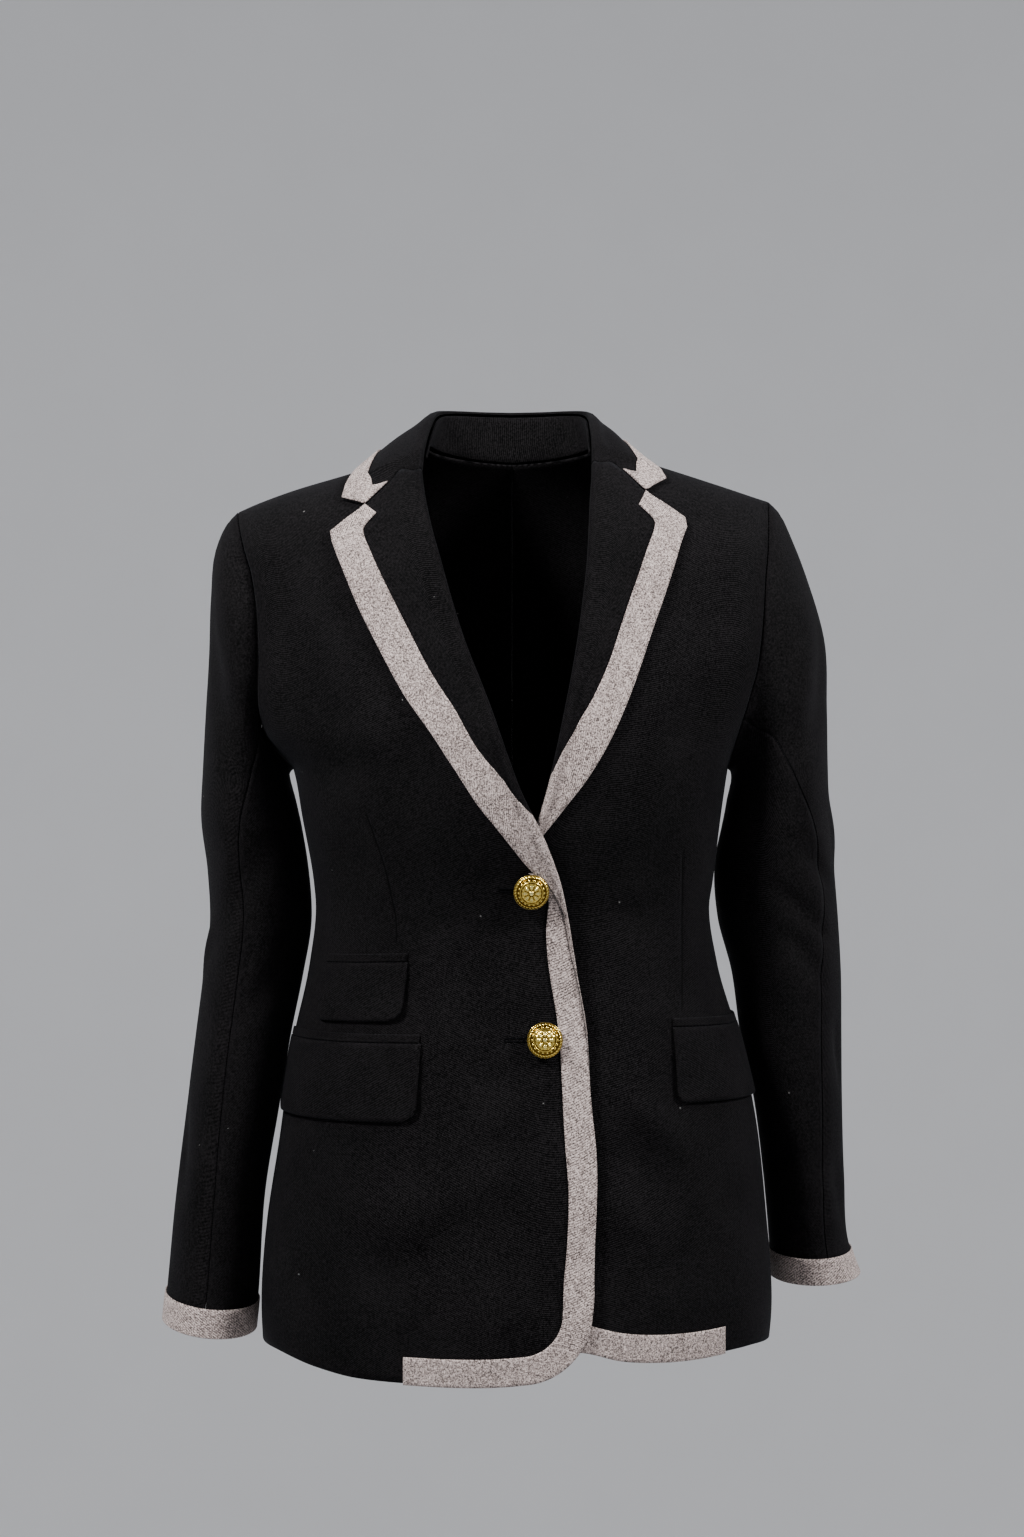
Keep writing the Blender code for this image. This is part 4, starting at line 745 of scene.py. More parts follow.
def front_trim_lines(side):
    """Outer and inner (x, z) lines of the trim: down the edge, round the corner, along the hem."""
    centre_x, centre_z, radius = CORNER[side]
    sign = SIGN[side]
    outer, inner = [], []
    for z in TRIM_ROWS:
        if centre_z < z <= TRIM_TOP[side]:
            setback = FOLD_SET * float(smoothstep(BREAK_Z[side] - 8, BREAK_Z[side] + 6, z))
            outer.append((float(OPENING.read(side, z)) + sign * setback, z))
            inner.append((float(EDGE_TRIM.read(side, z)), z))
    for turn in np.radians(np.linspace(0, 90, 7)):
        for line, reach in ((outer, radius), (inner, radius - TRIM_WIDTH)):
            line.append((centre_x - sign * reach * math.cos(turn),
                         centre_z - reach * math.sin(turn)))
    for x in np.linspace(centre_x, HEM_TRIM_END[side], 5)[1:]:
        outer.append((x, float(HEM.read("z", x))))
        inner.append((x, float(HEM.read("z", x)) + TRIM_WIDTH))
    return np.array(outer), np.array(inner)


# ---- pockets
# front_x: the end nearest the front edge; top_z: its height there; slope: fall of the top per mm
# towards the side; drop: height of the flap; end: degrees round the section of its far end;
# corner: radius of its lower corners; upright: how far its front end hangs straight down.
Pocket = namedtuple("Pocket", "side front_x top_z slope drop end corner upright")
POCKETS = {
    "ticket_{}": Pocket("right", -70.8, -367.0, 0.05, 40.5, 62.0, 10.0, 0.0),
    "pocket_{}_right": Pocket("right", -61.3, -422.0, 0.028, 53.0, 82.0, 11.0, 0.0),
    "pocket_{}_left": Pocket("left", 110.2, -413.0, 0.045, 51.0, 109.0, 6.0, 0.8),
}
FLAP_CLOTH = 1.8
WELT_HEIGHT = 6.0
FLAP_LIFT = 1.6  # how far the flap's front corner stands off the panel
LIFTED = 12.0  # length of the flap's top over which that fades


def round_torso(side, turn, z, height):
    """Places on the torso below the underarm, `turn` radians round from the middle front."""
    turn, z = np.broadcast_arrays(turn, z)
    ahead = half_width(SIGN[side], z, -1) * np.sin(np.minimum(turn, math.pi / 2)) * SIGN[side]
    behind = half_width(SIGN[side], z, 1) * np.sin(np.maximum(turn, math.pi / 2)) * SIGN[side]
    return np.where((turn <= math.pi / 2)[..., None], on_front(ahead, z, side, height),
                    place(behind, z, 1, height))


def flap_grid(pocket, columns, rows, heights):
    """Points over a flap: `columns` are turns of the section, `rows` shares of its drop."""
    top_line = round_torso(pocket.side, columns, pocket.top_z, 0.0)
    run = np.concatenate([[0], np.cumsum(np.linalg.norm(np.diff(top_line, axis=0), axis=-1))])
    near = np.maximum(pocket.corner - np.minimum(run, run[-1] - run), 0)
    drop = pocket.drop - (pocket.corner - np.sqrt(pocket.corner ** 2 - near ** 2))
    rows, heights = np.array(rows, float)[:, None], np.array(heights, float)[:, None]
    z = pocket.top_z - pocket.slope * run - drop * rows
    front = np.arcsin(abs(pocket.front_x) / half_width(SIGN[pocket.side], z, -1))
    behind = (columns - columns[0]) / (columns[-1] - columns[0])
    turn = columns + (front - columns[0]) * (1 - behind) * pocket.upright
    lift_by = FLAP_LIFT * np.clip(1 - run / LIFTED, 0, 1) ** 2 * np.sqrt(rows)
    return round_torso(pocket.side, turn, z, heights + lift_by)


# ---- finer grids
def spread(values, knots, at, breaks=()):
    """Cubic curves through values[k] at knots[k], along the first axis, read at `at`.

    The curves have a corner at each of `breaks`.
    """
    if breaks:
        ends = [0, *breaks, len(knots) - 1]
        out = np.empty((len(at),) + values.shape[1:])
        for a, b in zip(ends, ends[1:]):
            inside = (at >= knots[a]) & (at <= knots[b])
            out[inside] = spread(values[a:b + 1], knots[a:b + 1], at[inside])
        return out
    step = np.diff(knots)
    rise = np.diff(values, axis=0) / step[:, None, None]
    slope = np.concatenate([rise[:1], rise])
    if len(step) > 1:
        share = (step[:-1] / (step[:-1] + step[1:]))[:, None, None]
        slope[1:-1] = rise[:-1] * (1 - share) + rise[1:] * share
        slope[0] = 1.5 * rise[0] - 0.5 * slope[1]
        slope[-1] = 1.5 * rise[-1] - 0.5 * slope[-2]
    k = np.clip(np.searchsorted(knots, at, side="right") - 1, 0, len(step) - 1)
    t = ((at - knots[k]) / step[k])[:, None, None]
    return hermite(t, step[k][:, None, None], values[k], slope[k], values[k + 1], slope[k + 1])


def run_lengths(grid):
    """Mean distance of each row of a grid from its first row."""
    size = np.linalg.norm(np.diff(grid, axis=0), axis=-1).mean(-1)
    return np.concatenate([[0], np.cumsum(np.maximum(size, 1e-3))])


def ticks(grid, spacing):
    """Fractional rows of a coarse grid, at most `spacing` apart, its own rows among them."""
    counts = [max(1, math.ceil(size / spacing)) for size in np.diff(run_lengths(grid))]
    return np.array([k + j / count for k, count in enumerate(counts) for j in range(count)]
                    + [len(counts)])


def sample(grid, rows, cols, breaks=(), straight=None):
    """Points of a coarse grid at fractional rows and columns; `cols` may differ by row.

    `straight` is how far each row runs straight from column to column, with corners there.
    """
    down, across = run_lengths(grid), run_lengths(grid.transpose(1, 0, 2))
    fine = spread(grid, down, np.interp(rows, np.arange(len(down)), down), breaks)
    cols = np.broadcast_to(cols, (len(rows), np.shape(cols)[-1]))
    at = np.interp(cols, np.arange(len(across)), across)
    out = np.array([spread(line[:, None], across, spots)[:, 0] for line, spots in zip(fine, at)])
    if straight is not None:
        lines = np.array([[np.interp(spots, across, line[:, axis]) for axis in range(3)]
                          for line, spots in zip(fine, at)]).transpose(0, 2, 1)
        out += (lines - out) * straight[:, None, None]
    return out


def finer(grid, spacing):
    return sample(grid, ticks(grid, spacing), ticks(grid.transpose(1, 0, 2), spacing))


def grid_normals(points, loop=False):
    along = np.gradient(points, axis=0)
    if loop:
        across = np.roll(points, -1, 1) - np.roll(points, 1, 1)
    else:
        across = np.gradient(points, axis=1)
    return unit(np.cross(along, across))


def blurred(field, times, loop=False):
    """A grid of numbers, averaged with its neighbours."""
    for _ in range(times):
        sides = [np.roll(field, 1, 1), np.roll(field, -1, 1)]
        if not loop:
            sides[0][:, 0] = field[:, 0]
            sides[1][:, -1] = field[:, -1]
        up, down = np.roll(field, 1, 0), np.roll(field, -1, 0)
        up[0], down[-1] = field[0], field[-1]
        field = (2 * field + sides[0] + sides[1] + up + down) / 6
    return field


# ---- cloth pieces
WALLS = {}  # the walls made so far, for those that lie on them
REACH = 12.0  # how far above a wall the search for it starts
ROLLED = 0.55  # how far the cloth's faces round off at its edges
LEAF_ROLLED = 0.4  # the same for the lapels and the collar
TRIM_ROLLED = 0.35  # the same for the trim
SPACING = {"sleeve": 4.5, "lapel": 3.0, "collar": 3.5, "front_trim": 2.4}  # of the finer rows


def halves_of(faces):
    """The triangles of a list of faces."""
    return [(f[0], f[k], f[k + 1]) for f in faces for k in range(1, len(f) - 1)]


def signed_volume(points, faces):
    a, b, c = points[np.array(halves_of(faces)).T]
    return np.sum(a * np.cross(b, c))


def rest_on(outer, inner, under, along=None, loop=False):
    """Move both layers outwards until the inner one clears the walls that it lies on."""
    ahead = unit(outer - inner if along is None else np.zeros(inner.shape) + along)
    need = np.zeros(inner.shape[:2])
    for spot in np.ndindex(need.shape):
        point, out = Vector(inner[spot]), Vector(ahead[spot])
        for name in under:
            hit = WALLS[name].ray_cast(point + out * REACH, -out, 2 * REACH)
            if hit[0] is not None:
                need[spot] = max(need[spot], LAYER_GAP + REACH - hit[3])
    eased = need
    for _ in range(3):
        eased = np.maximum(blurred(eased, 2, loop), need)
    return outer + ahead * eased[..., None], inner + ahead * eased[..., None]


def shell(name, outer, inner, look, loop=False, slot="black_wool", rolled=ROLLED):
    """Closed wall of cloth between two grids of points, with rounded edges and a weave map."""
    rows, cols = outer.shape[:2]
    quads = [((r, c), (r, (c + 1) % cols), (r + 1, (c + 1) % cols), (r + 1, c))
             for r in range(rows - 1) for c in range(cols if loop else cols - 1)]
    edges = {(q[k], q[(k + 1) % 4]) for q in quads for k in range(4)}
    rim = {q[k]: q[(k + 1) % 4] for q in quads for k in range(4)
           if (q[(k + 1) % 4], q[k]) not in edges}
    layer = rows * cols
    middle, thick = (outer + inner) / 2, outer - inner
    number = {spot: 2 * layer + k for k, spot in enumerate(rim)}
    before = {end: start for start, end in rim.items()}
    rounding = np.zeros(outer.shape)
    for spot, following in rim.items():
        away = unit(np.cross(middle[following] - middle[before[spot]], thick[spot]))
        r, c = spot
        inside = middle[min(max(r, 1), rows - 2), c if loop else min(max(c, 1), cols - 2)]
        rounding[spot] = away * (-rolled if np.dot(away, middle[spot] - inside) < 0 else rolled)
    layers = [(grid - rounding).reshape(-1, 3) for grid in (outer, inner)]
    points = np.concatenate([*layers, np.array([middle[spot] for spot in rim])])
    faces, spots = [], []
    for q in quads:
        ring = [r * cols + c for r, c in q]
        faces += [ring, [layer + k for k in (ring[0], *ring[:0:-1])]]
        spots += [q, (q[0], *q[:0:-1])]
    for start, end in rim.items():
        a, b = start[0] * cols + start[1], end[0] * cols + end[1]
        faces += [[b, a, number[start], number[end]],
                  [number[end], number[start], layer + a, layer + b]]
        spots += [[end, start, start, end]] * 2
    u = np.linalg.norm(np.diff(middle, axis=1, append=middle[:, :1]), axis=-1)
    u = np.concatenate([np.zeros((rows, 1)), np.cumsum(u, 1)], 1)
    v = np.linalg.norm(np.diff(middle, axis=0), axis=-1)
    v = np.concatenate([np.zeros((1, cols)), np.cumsum(v, 0)], 0)
    flat = []
    for ring in spots:
        turned = loop and {0, cols - 1} <= {c for _, c in ring}
        flat += [(u[r, cols if turned and c == 0 else c] * MM, v[r, c] * MM) for r, c in ring]
    show(name + "_cloth", points, faces, look, name, ("cut", flat))


def add_object(name, data):
    thing = bpy.data.objects.new(name, data)
    bpy.context.scene.collection.objects.link(thing)
    return thing


def show(name, points, faces, look, node=None, uvs=None):
    """Put points (in mm) and faces in the scene as a piece, in the place of the node named.

    `uvs` is the name of a map and its values, a pair for each corner of each face.
    """
    mesh = bpy.data.meshes.new(name)
    mesh.from_pydata([tuple(point * MM) for point in points], [], faces)
    if uvs:
        mesh.uv_layers.new(name=uvs[0]).data.foreach_set("uv", np.ravel(uvs[1]))
    if signed_volume(points, faces) < 0:
        mesh.flip_normals()
    mesh.materials.append(look)
    mesh.shade_smooth()
    piece = add_object(name, mesh)
    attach(piece, "root")
    if node:
        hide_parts(node)
        WALLS[node] = BVHTree.FromPolygons(points.tolist(), halves_of(faces))


def pull(grids, row=None, col=None, by=SEAM / 2):
    """Draw the first or last row (0 or -1) or column of each grid squarely back from its seam."""
    for grid in grids:
        view = grid if row is not None else grid.transpose(1, 0, 2)
        edge = row if row is not None else col
        seam = unit(np.gradient(view[edge], axis=0))
        step = view[1 if edge == 0 else -2] - view[edge]
        step -= np.sum(step * seam, -1, keepdims=True) * seam
        view[edge] += unit(step) * by


def draw_seams(layers):
    """Draw a panel back from its side seam and its shoulder seam."""
    pull([grid[:SIDE_ROWS] for grid in layers], col=-1)
    pull(layers, row=-1)


def make_front(side, look):
    x, z = front_grid(side)
    layers = [on_front(x, z, side, height) for height in (0.0, -CLOTH)]
    draw_seams(layers)
    if side == "right":
        under = [name + "_left" for name in ("front", "front_trim", "lapel", "lapel_trim")]
        layers = rest_on(*layers, under, along=FORWARD)
    shell("front_" + side, *layers, look)


def make_back(side, look):
    x, z = back_grid(side)
    layers = [place(x, z, 1, 0 * x + height) for height in (0.0, -CLOTH)]
    for grid in layers:
        grid[:, 0, 0] += SIGN[side] * CENTRE_GAP
    draw_seams(layers)
    shell("back_" + side, *layers, look)


def make_trim(name, face, normal, under, look, loop=False, crossed=(), seams=()):
    """A band of trim over a face, laid on the pieces under it and before those that it crosses.

    `seams` are its end rows that stop at a seam, and how far each is drawn back from it.
    """
    band = [face + normal * height for height in (LAYER_GAP + TRIM_CLOTH, LAYER_GAP)]
    band = rest_on(*band, under, loop=loop)
    if crossed:
        band = rest_on(*band, crossed, along=FORWARD)
    for row, by in seams:
        pull(band, row=row, by=by)
    shell(name, *band, look, loop, "grey_trim", TRIM_ROLLED)


def make_sleeve(side, look, trim):
    coarse, start, front_seam, back_seam = sleeve_rings(side)
    rows = np.sort(np.append(ticks(coarse, SPACING["sleeve"]), SLEEVE_END))
    outer = sample(coarse, rows, np.arange(coarse.shape[1]))
    settled = beside_torso(outer.copy(), LEAST_CLEARANCE)
    share = smoothstep(0.6, 1.6, rows)[:, None, None]
    outer = outer * (1 - share) + settled * share
    normal = grid_normals(outer, loop=True) * -SIGN[side]
    outer = outer + normal * creases(side, outer, rows)[..., None]
    normal = grid_normals(outer, loop=True) * -SIGN[side]
    near = smoothstep(0.0, 1.0, rows)[:, None, None]
    inner = (outer - normal * CLOTH) * near + (outer + start - coarse[0]) * (1 - near)
    count = outer.shape[1]
    spans = {"under": np.arange(front_seam, back_seam + 1),
             "top": np.arange(back_seam, front_seam + count + 1) % count}
    for part, span in spans.items():
        layers = [grid[rows <= SLEEVE_END][:, span] for grid in (outer, inner)]
        for col in (0, -1):
            pull(layers, col=col)
        shell(f"sleeve_{part}_{side}", *layers, look)
    cuff = rows >= CUFF_RING
    make_trim("cuff_trim_" + side, outer[cuff], normal[cuff],
              ["sleeve_top_" + side, "sleeve_under_" + side], trim, loop=True)


GORGE_EDGE = {}  # each lapel's top edge: its columns, and its outer and inner points
LAPEL_COLS, LAPEL_TRIM_COLS = 33, 15
BAND_LEAVES = 14, 16  # rows over which the right trim's inner line moves off the roll
FIRST_BARE = 0.15  # column where the trim starts once it covers the lapel up to its roll


def leaf_face(spots, side, at):
    """Face of a lapel over (x, z, height) spots in the rows `at`, and the way out from it."""
    x, z, height = np.moveaxis(spots, -1, 0)
    face = on_front(x, z, side, height)
    normal = grid_normals(face) * SIGN[side]
    ahead = on_front(x, z, side, height + 1) - face
    mix = smoothstep(LAPEL_END - 4, LAPEL_END - 1, at)[:, None, None]
    return face, unit(normal * (1 - mix) + ahead * mix)


def make_lapel(side, look, trim):
    table, coarse = LAPEL[side], lapel_grid(side)
    under = ["front_" + side, "front_trim_" + side]
    others = ["lapel_left", "lapel_trim_left"] if side == "right" else []
    end = ALL_TRIM[side] + 1
    rows = ticks(coarse[..., :2], SPACING["lapel"])
    columns = np.arange(coarse.shape[1])
    lines = sample(coarse, rows, columns, (1,))[..., :2]
    reach = np.cumsum(np.linalg.norm(np.diff(lines, axis=1, prepend=lines[:, :1]), axis=-1), 1)
    bare = np.linalg.norm(table.spot("inner", rows) - lines[:, 0], axis=-1)
    first = np.array([np.interp(*spot, columns) for spot in zip(bare, reach)])
    first = np.where(rows <= 1, BAND_COL, first)
    first = np.where(rows < end, np.maximum(first, FIRST_BARE), FIRST_BARE)
    first = first + (1.0 - first) * smoothstep(*BAND_LEAVES, rows) * (side == "right")
    cloth = rows <= end
    last = np.where(rows < end - 1, EDGE_COL, np.minimum(EDGE_COL, first + 1.5))
    cols = ease_to_edges(np.linspace(0, 1, LAPEL_COLS)) * last[cloth, None]
    face, normal = leaf_face(sample(coarse, rows[cloth], cols, (1,)), side, rows[cloth])
    leaf = rest_on(face, face - normal * LAPEL_CLOTH, under)
    if others:
        leaf = rest_on(*leaf, others, along=FORWARD)
    pull(leaf, row=0)
    GORGE_EDGE[side] = cols[0], leaf[0][0].copy(), leaf[1][0].copy()
    shell("lapel_" + side, *leaf, look, rolled=LEAF_ROLLED)
    cols = first[:, None] + (EDGE_COL - first[:, None]) * np.linspace(0, 1, LAPEL_TRIM_COLS)
    make_trim("lapel_trim_" + side, *leaf_face(sample(coarse, rows, cols, (1,)), side, rows),
              under + ["lapel_" + side], trim, crossed=others, seams=((0, SEAM / 2),))


def ease_to_edges(share):
    """Shares that crowd towards 0, where the lapel and the collar turn sharply."""
    return share ** 1.35


COLLAR_COLS, COLLAR_TRIM_COLS = 29, 13
# Where the inner edge of the collar's trim turns towards the notch: coarse row and column.
CORNER_ROW = 0.4
CORNER_COL = 5.45
NOTCH_GAP = 0.4  # how far the collar's trim keeps back from the notch


def make_collar(look, trim):
    coarse = round_neck(collar_row, [0, *COLLAR_LINES])
    last = len(coarse) - 1
    rows = np.unique(np.append(ticks(coarse, SPACING["collar"]), [CORNER_ROW, last - CORNER_ROW]))
    from_end = np.minimum(rows, last - rows)
    panels = [part + side for part in ("front_", "back_") for side in SIGN]
    cols = ease_to_edges(np.linspace(0, 1, COLLAR_COLS)) * EDGE_COL
    outer = sample(coarse, rows, cols, (1, last - 1), np.clip(1 - from_end, 0, 1))
    normal = grid_normals(outer)
    leaf = outer, outer - normal * LAPEL_CLOTH
    tail = cols >= 3
    flat = rest_on(leaf[0][:, tail], leaf[1][:, tail], panels)
    rise = np.linalg.norm(flat[0] - leaf[0][:, tail], axis=-1)
    lift_by = blurred(np.concatenate([np.zeros((len(rows), int((~tail).sum()))), rise], 1), 1)
    lift_by[:, tail] = np.maximum(lift_by[:, tail], rise)
    leaf = [grid + normal * lift_by[..., None] for grid in leaf]
    seam = cols <= 6
    for row, side in ((0, "right"), (-1, "left")):
        spots = np.interp(cols[seam], (0, 3, 5, 6), (0, 3, 4, 5))
        for grid, line in zip(leaf, GORGE_EDGE[side][1:]):
            grid[row, seam] = np.stack([np.interp(spots, GORGE_EDGE[side][0], line[:, axis])
                                        for axis in range(3)], -1)
        pull(leaf, row=row, by=SEAM)
    shell("collar_fall", *leaf, look, rolled=LEAF_ROLLED)
    start = np.interp(from_end, (0, CORNER_ROW, 1), (BAND_COL, CORNER_COL, BAND_COL))[:, None]
    spots = start + (EDGE_COL - start) * np.linspace(0, 1, COLLAR_TRIM_COLS)
    face = np.array([spread(line[:, None], cols, at)[:, 0] for line, at in zip(leaf[0], spots)])
    make_trim("collar_trim", face, grid_normals(face), panels + ["collar_fall"], trim,
              seams=((0, NOTCH_GAP), (-1, NOTCH_GAP)))
    outer = finer(round_neck(stand_row, COLLAR_LINES), SPACING["collar"])
    shell("collar_stand", outer, outer + grid_normals(outer) * LAPEL_CLOTH, look)


def make_front_trim(side, look):
    outer, inner = front_trim_lines(side)
    spots = finer(np.stack([outer, (outer + inner) / 2, inner], 1), SPACING["front_trim"])
    face, ahead = [on_front(spots[..., 0], spots[..., 1], side, height) for height in (0.0, 1.0)]
    make_trim("front_trim_" + side, face, ahead - face, ["front_" + side], look)


def make_pocket(name, look):
    pocket = POCKETS[name]
    wide = float(half_width(SIGN[pocket.side], pocket.top_z, -1))
    start, end = math.asin(abs(pocket.front_x) / wide), math.radians(pocket.end)
    edge = np.array([0, 0.01, 0.02, 0.03, 0.045, 0.06, 0.08, 0.1])
    shares = np.concatenate([edge, np.linspace(0.12, 0.88, 24), 1 - edge[::-1]])
    columns = start + (end - start) * shares
    rows = np.linspace(0, 1, 16)
    lifts = np.interp(rows, (0, 0.25, 0.6, 1), (0.0, 0.2, 0.6, 1.1)) + LAYER_GAP
    under = ["front_" + pocket.side, "back_" + pocket.side]
    flap = [flap_grid(pocket, columns, rows, lifts + rise) for rise in (FLAP_CLOTH, 0)]
    shell(name.format("flap"), *rest_on(*flap, under), look)
    tops = pocket.top_z + SEAM + WELT_HEIGHT * np.linspace(1, 0, 5)
    welt = [np.array([flap_grid(pocket._replace(top_z=top), columns[1:-1], (0,), (height,))[0]
                      for top in tops]) for height in (LAYER_GAP + LAPEL_CLOTH, LAYER_GAP)]
    shell(name.format("welt"), *rest_on(*welt, under), look)


# Soft creases of the sleeves: a trough (or, with a negative depth, a ridge) from ring0 to ring1.
# turn: degrees round from the outermost point towards the front.
CREASES = {
    "right": Table("ring0 turn0 ring1 turn1 width depth", [
        (2.5, 60, 6, 95, 13, 1.6), (7, 120, 9.5, 70, 11, 1.8), (8.6, 60, 10.2, 20, 10, -1.2),
        (9, 150, 11, 95, 12, 1.5), (4, -60, 7, -100, 16, 1.6), (8, -70, 9.6, -20, 13, -1.4),
        (11.5, 30, 13.2, 70, 14, 1.3), (12, -90, 13.6, -50, 15, 1.2),
    ]),
    "left": Table("ring0 turn0 ring1 turn1 width depth", [
        (7, 100, 8.6, 55, 9, 2.0), (8, 120, 9.6, 60, 9, 2.2), (8.8, 110, 10.4, 75, 8, 1.8),
        (3, 50, 6, 80, 14, 1.5), (6.4, 30, 8.2, 10, 12, -1.3), (10.4, 60, 12, 40, 12, 1.5),
        (4, -60, 7, -100, 15, 1.7), (9, -80, 11, -30, 15, -1.4), (12.4, 80, 13.8, 50, 13, 1.2),
    ]),
}


SLEEVE_RADIUS = 50.0  # turns the creases' angles into widths


def creases(side, points, rows):
    """How far each point of a sleeve moves along its normal."""
    middle = points.mean(1, keepdims=True)
    turn = np.degrees(np.arctan2(-(points[..., 1] - middle[..., 1]),
                                 SIGN[side] * (points[..., 0] - middle[..., 0])))
    total = np.zeros(turn.shape)
    for ring0, turn0, ring1, turn1, width, depth in CREASES[side].rows:
        along = (rows[:, None] - ring0) / (ring1 - ring0)
        across = (turn - turn0 - (turn1 - turn0) * along + 180) % 360 - 180
        total -= trough(along, np.radians(across) * SLEEVE_RADIUS, width, depth)
    return total


# ---- metal buttons
BUTTONS = {"button_upper": (12.8, -315.7), "button_lower": (22.1, -419.3)}
SIDES = 160  # round a button
RELIEF = 1.25  # how far the pattern stands out
RIM_TONE = 0.3  # tone of the button's side and back, on the gold's ramp from painted shade to painted highlight
# Domed shank button from the middle of its dome to its rim, as (radius, height), then round the
# rim and down the shank behind it.
DOME = ((0, 9.2), (4, 8.9), (7.6, 8.0), (10.2, 6.8), (11.4, 5.8), (12, 5.2))
SHANK = ((12.0, 5.3), (12.0, 5.0), (11.6, 4.7), (8.0, 4.6), (3.4, 4.5), (2.8, 4.3), (2.6, 4.0),
         (2.6, 0.9), (2.3, 0.6))
FACE_RINGS = np.append(np.linspace(0.05, 11.4, 74), (11.7, 11.92))
RELIEF_FADE = (11.9, 11.2)  # radii over which the pattern rises from the rim
TIP_RISE = 0.5  # the middle of the pattern stands this far over the dome
Band = namedtuple("Band", "radius width height")
ROPE, GROOVE = Band(10.9, 0.62, 0.34), Band(9.75, 0.3, -0.22)
DOT_ROW, RING = Band(8.75, 0.42, 0.42), Band(7.7, 0.2, 0.26)
VEIN = Band(6.0, 0.7, 0.3)
STRANDS, STRAND_START, STRAND_SLANT = 34, 10.8, 2.6
DOTS, DOT_WIDTH = 18, 0.5
PETALS, PETAL_FOOT, PETAL_LENGTH, PETAL_HEIGHT = 8, 1.9, 4.9, 0.5
BOSS_RADIUS, BOSS_HEIGHT = 1.5, 0.5


def raised(band, radius):
    """Height of one ring of the pattern, sunk where it is negative."""
    return band.height * bump_at(radius, band.radius, band.width)


def relief(radius, turn):
    """Height of the button's pattern: rope rim, ring of dots, and an eight-petalled rosette."""
    strand = 0.5 + 0.5 * np.cos(STRANDS * turn + STRAND_SLANT * (radius - STRAND_START))
    step = 2 * math.pi / DOTS
    off = (turn + step / 2) % step - step / 2
    dot = bump_at(off * DOT_ROW.radius, 0, DOT_WIDTH)
    height = strand * raised(ROPE, radius) + raised(GROOVE, radius)
    height += dot * raised(DOT_ROW, radius) + raised(RING, radius)
    petal = np.abs(np.cos(turn * PETALS / 2)) ** 1.6
    reach = np.clip((radius - PETAL_FOOT) / PETAL_LENGTH, 0, 1)
    ripple = 0.72 + 0.28 * np.cos(5.2 * radius)
    height += PETAL_HEIGHT * petal * np.sin(math.pi * reach) ** 0.8 * ripple
    height += np.abs(np.sin(turn * PETALS / 2)) ** 12 * raised(VEIN, radius)
    boss = np.sqrt(np.clip(1 - (radius / BOSS_RADIUS) ** 2, 0, 1))
    return height + BOSS_HEIGHT * boss


def around(sides):
    return np.arange(sides) * 2 * math.pi / sides


def ring_faces(rings, sides, closed=False):
    """Quads between rings of points, and from the last ring to the first where closed."""
    return [(r * sides + k, r * sides + (k + 1) % sides,
             (r + 1) % rings * sides + (k + 1) % sides, (r + 1) % rings * sides + k)
            for r in range(rings if closed else rings - 1) for k in range(sides)]


def make_button(name, look):
    x, z = BUTTONS[name]
    foot = on_front(x, z, "right", 0.0)
    ahead = unit(on_front(x, z, "right", 1.0) - foot)
    across = unit(np.cross([0.0, 0.0, 1.0], ahead))
    turn = around(SIDES)
    spokes = np.cos(turn)[:, None] * across - np.sin(turn)[:, None] * np.cross(ahead, across)
    patterns = [relief(radius, turn) for radius in FACE_RINGS]
    heights = smooth(*np.array(DOME, float).T, FACE_RINGS)
    rings = [(radius, height + RELIEF * pattern * float(smoothstep(*RELIEF_FADE, radius)))
             for radius, height, pattern in zip(FACE_RINGS, heights, patterns)]
    rings += [(radius, height + 0 * turn) for radius, height in SHANK]
    points = [foot + radius * spokes + height[:, None] * ahead for radius, height in rings]
    points = np.concatenate(points + [[foot + (heights[0] + TIP_RISE) * ahead,
                                       foot + SHANK[-1][1] * ahead]])
    faces = ring_faces(len(rings), SIDES)
    last, tip, root = (len(rings) - 1) * SIDES, len(points) - 2, len(points) - 1
    for k in range(SIDES):
        faces.append((tip, (k + 1) % SIDES, k))
        faces.append((root, last + k, last + (k + 1) % SIDES))
    # the pattern's heights go to the map "relief", from which the gold paints shade in the hollows and
    # highlights on the raised pattern
    shade_and_highlight_tones = np.concatenate([*patterns, [RIM_TONE] * len(SHANK) * SIDES, [0.5, 0.0]])
    show(name + "_metal", points, faces, look, name,
         ("relief", [(shade_and_highlight_tones[k], 0) for face in faces for k in face]))


# ---- sewing
BUTTONHOLES = {"buttonhole_upper": (-7.4, 5.4, -315.7), "buttonhole_lower": (-3.4, 12.0, -419.3)}
SLIT_HALF = 1.15  # from the middle of the slit to the middle of its stitches
STITCH_LIFT = 0.05
STITCH_RADIUS, STITCH_WAVE = 0.5, 0.1


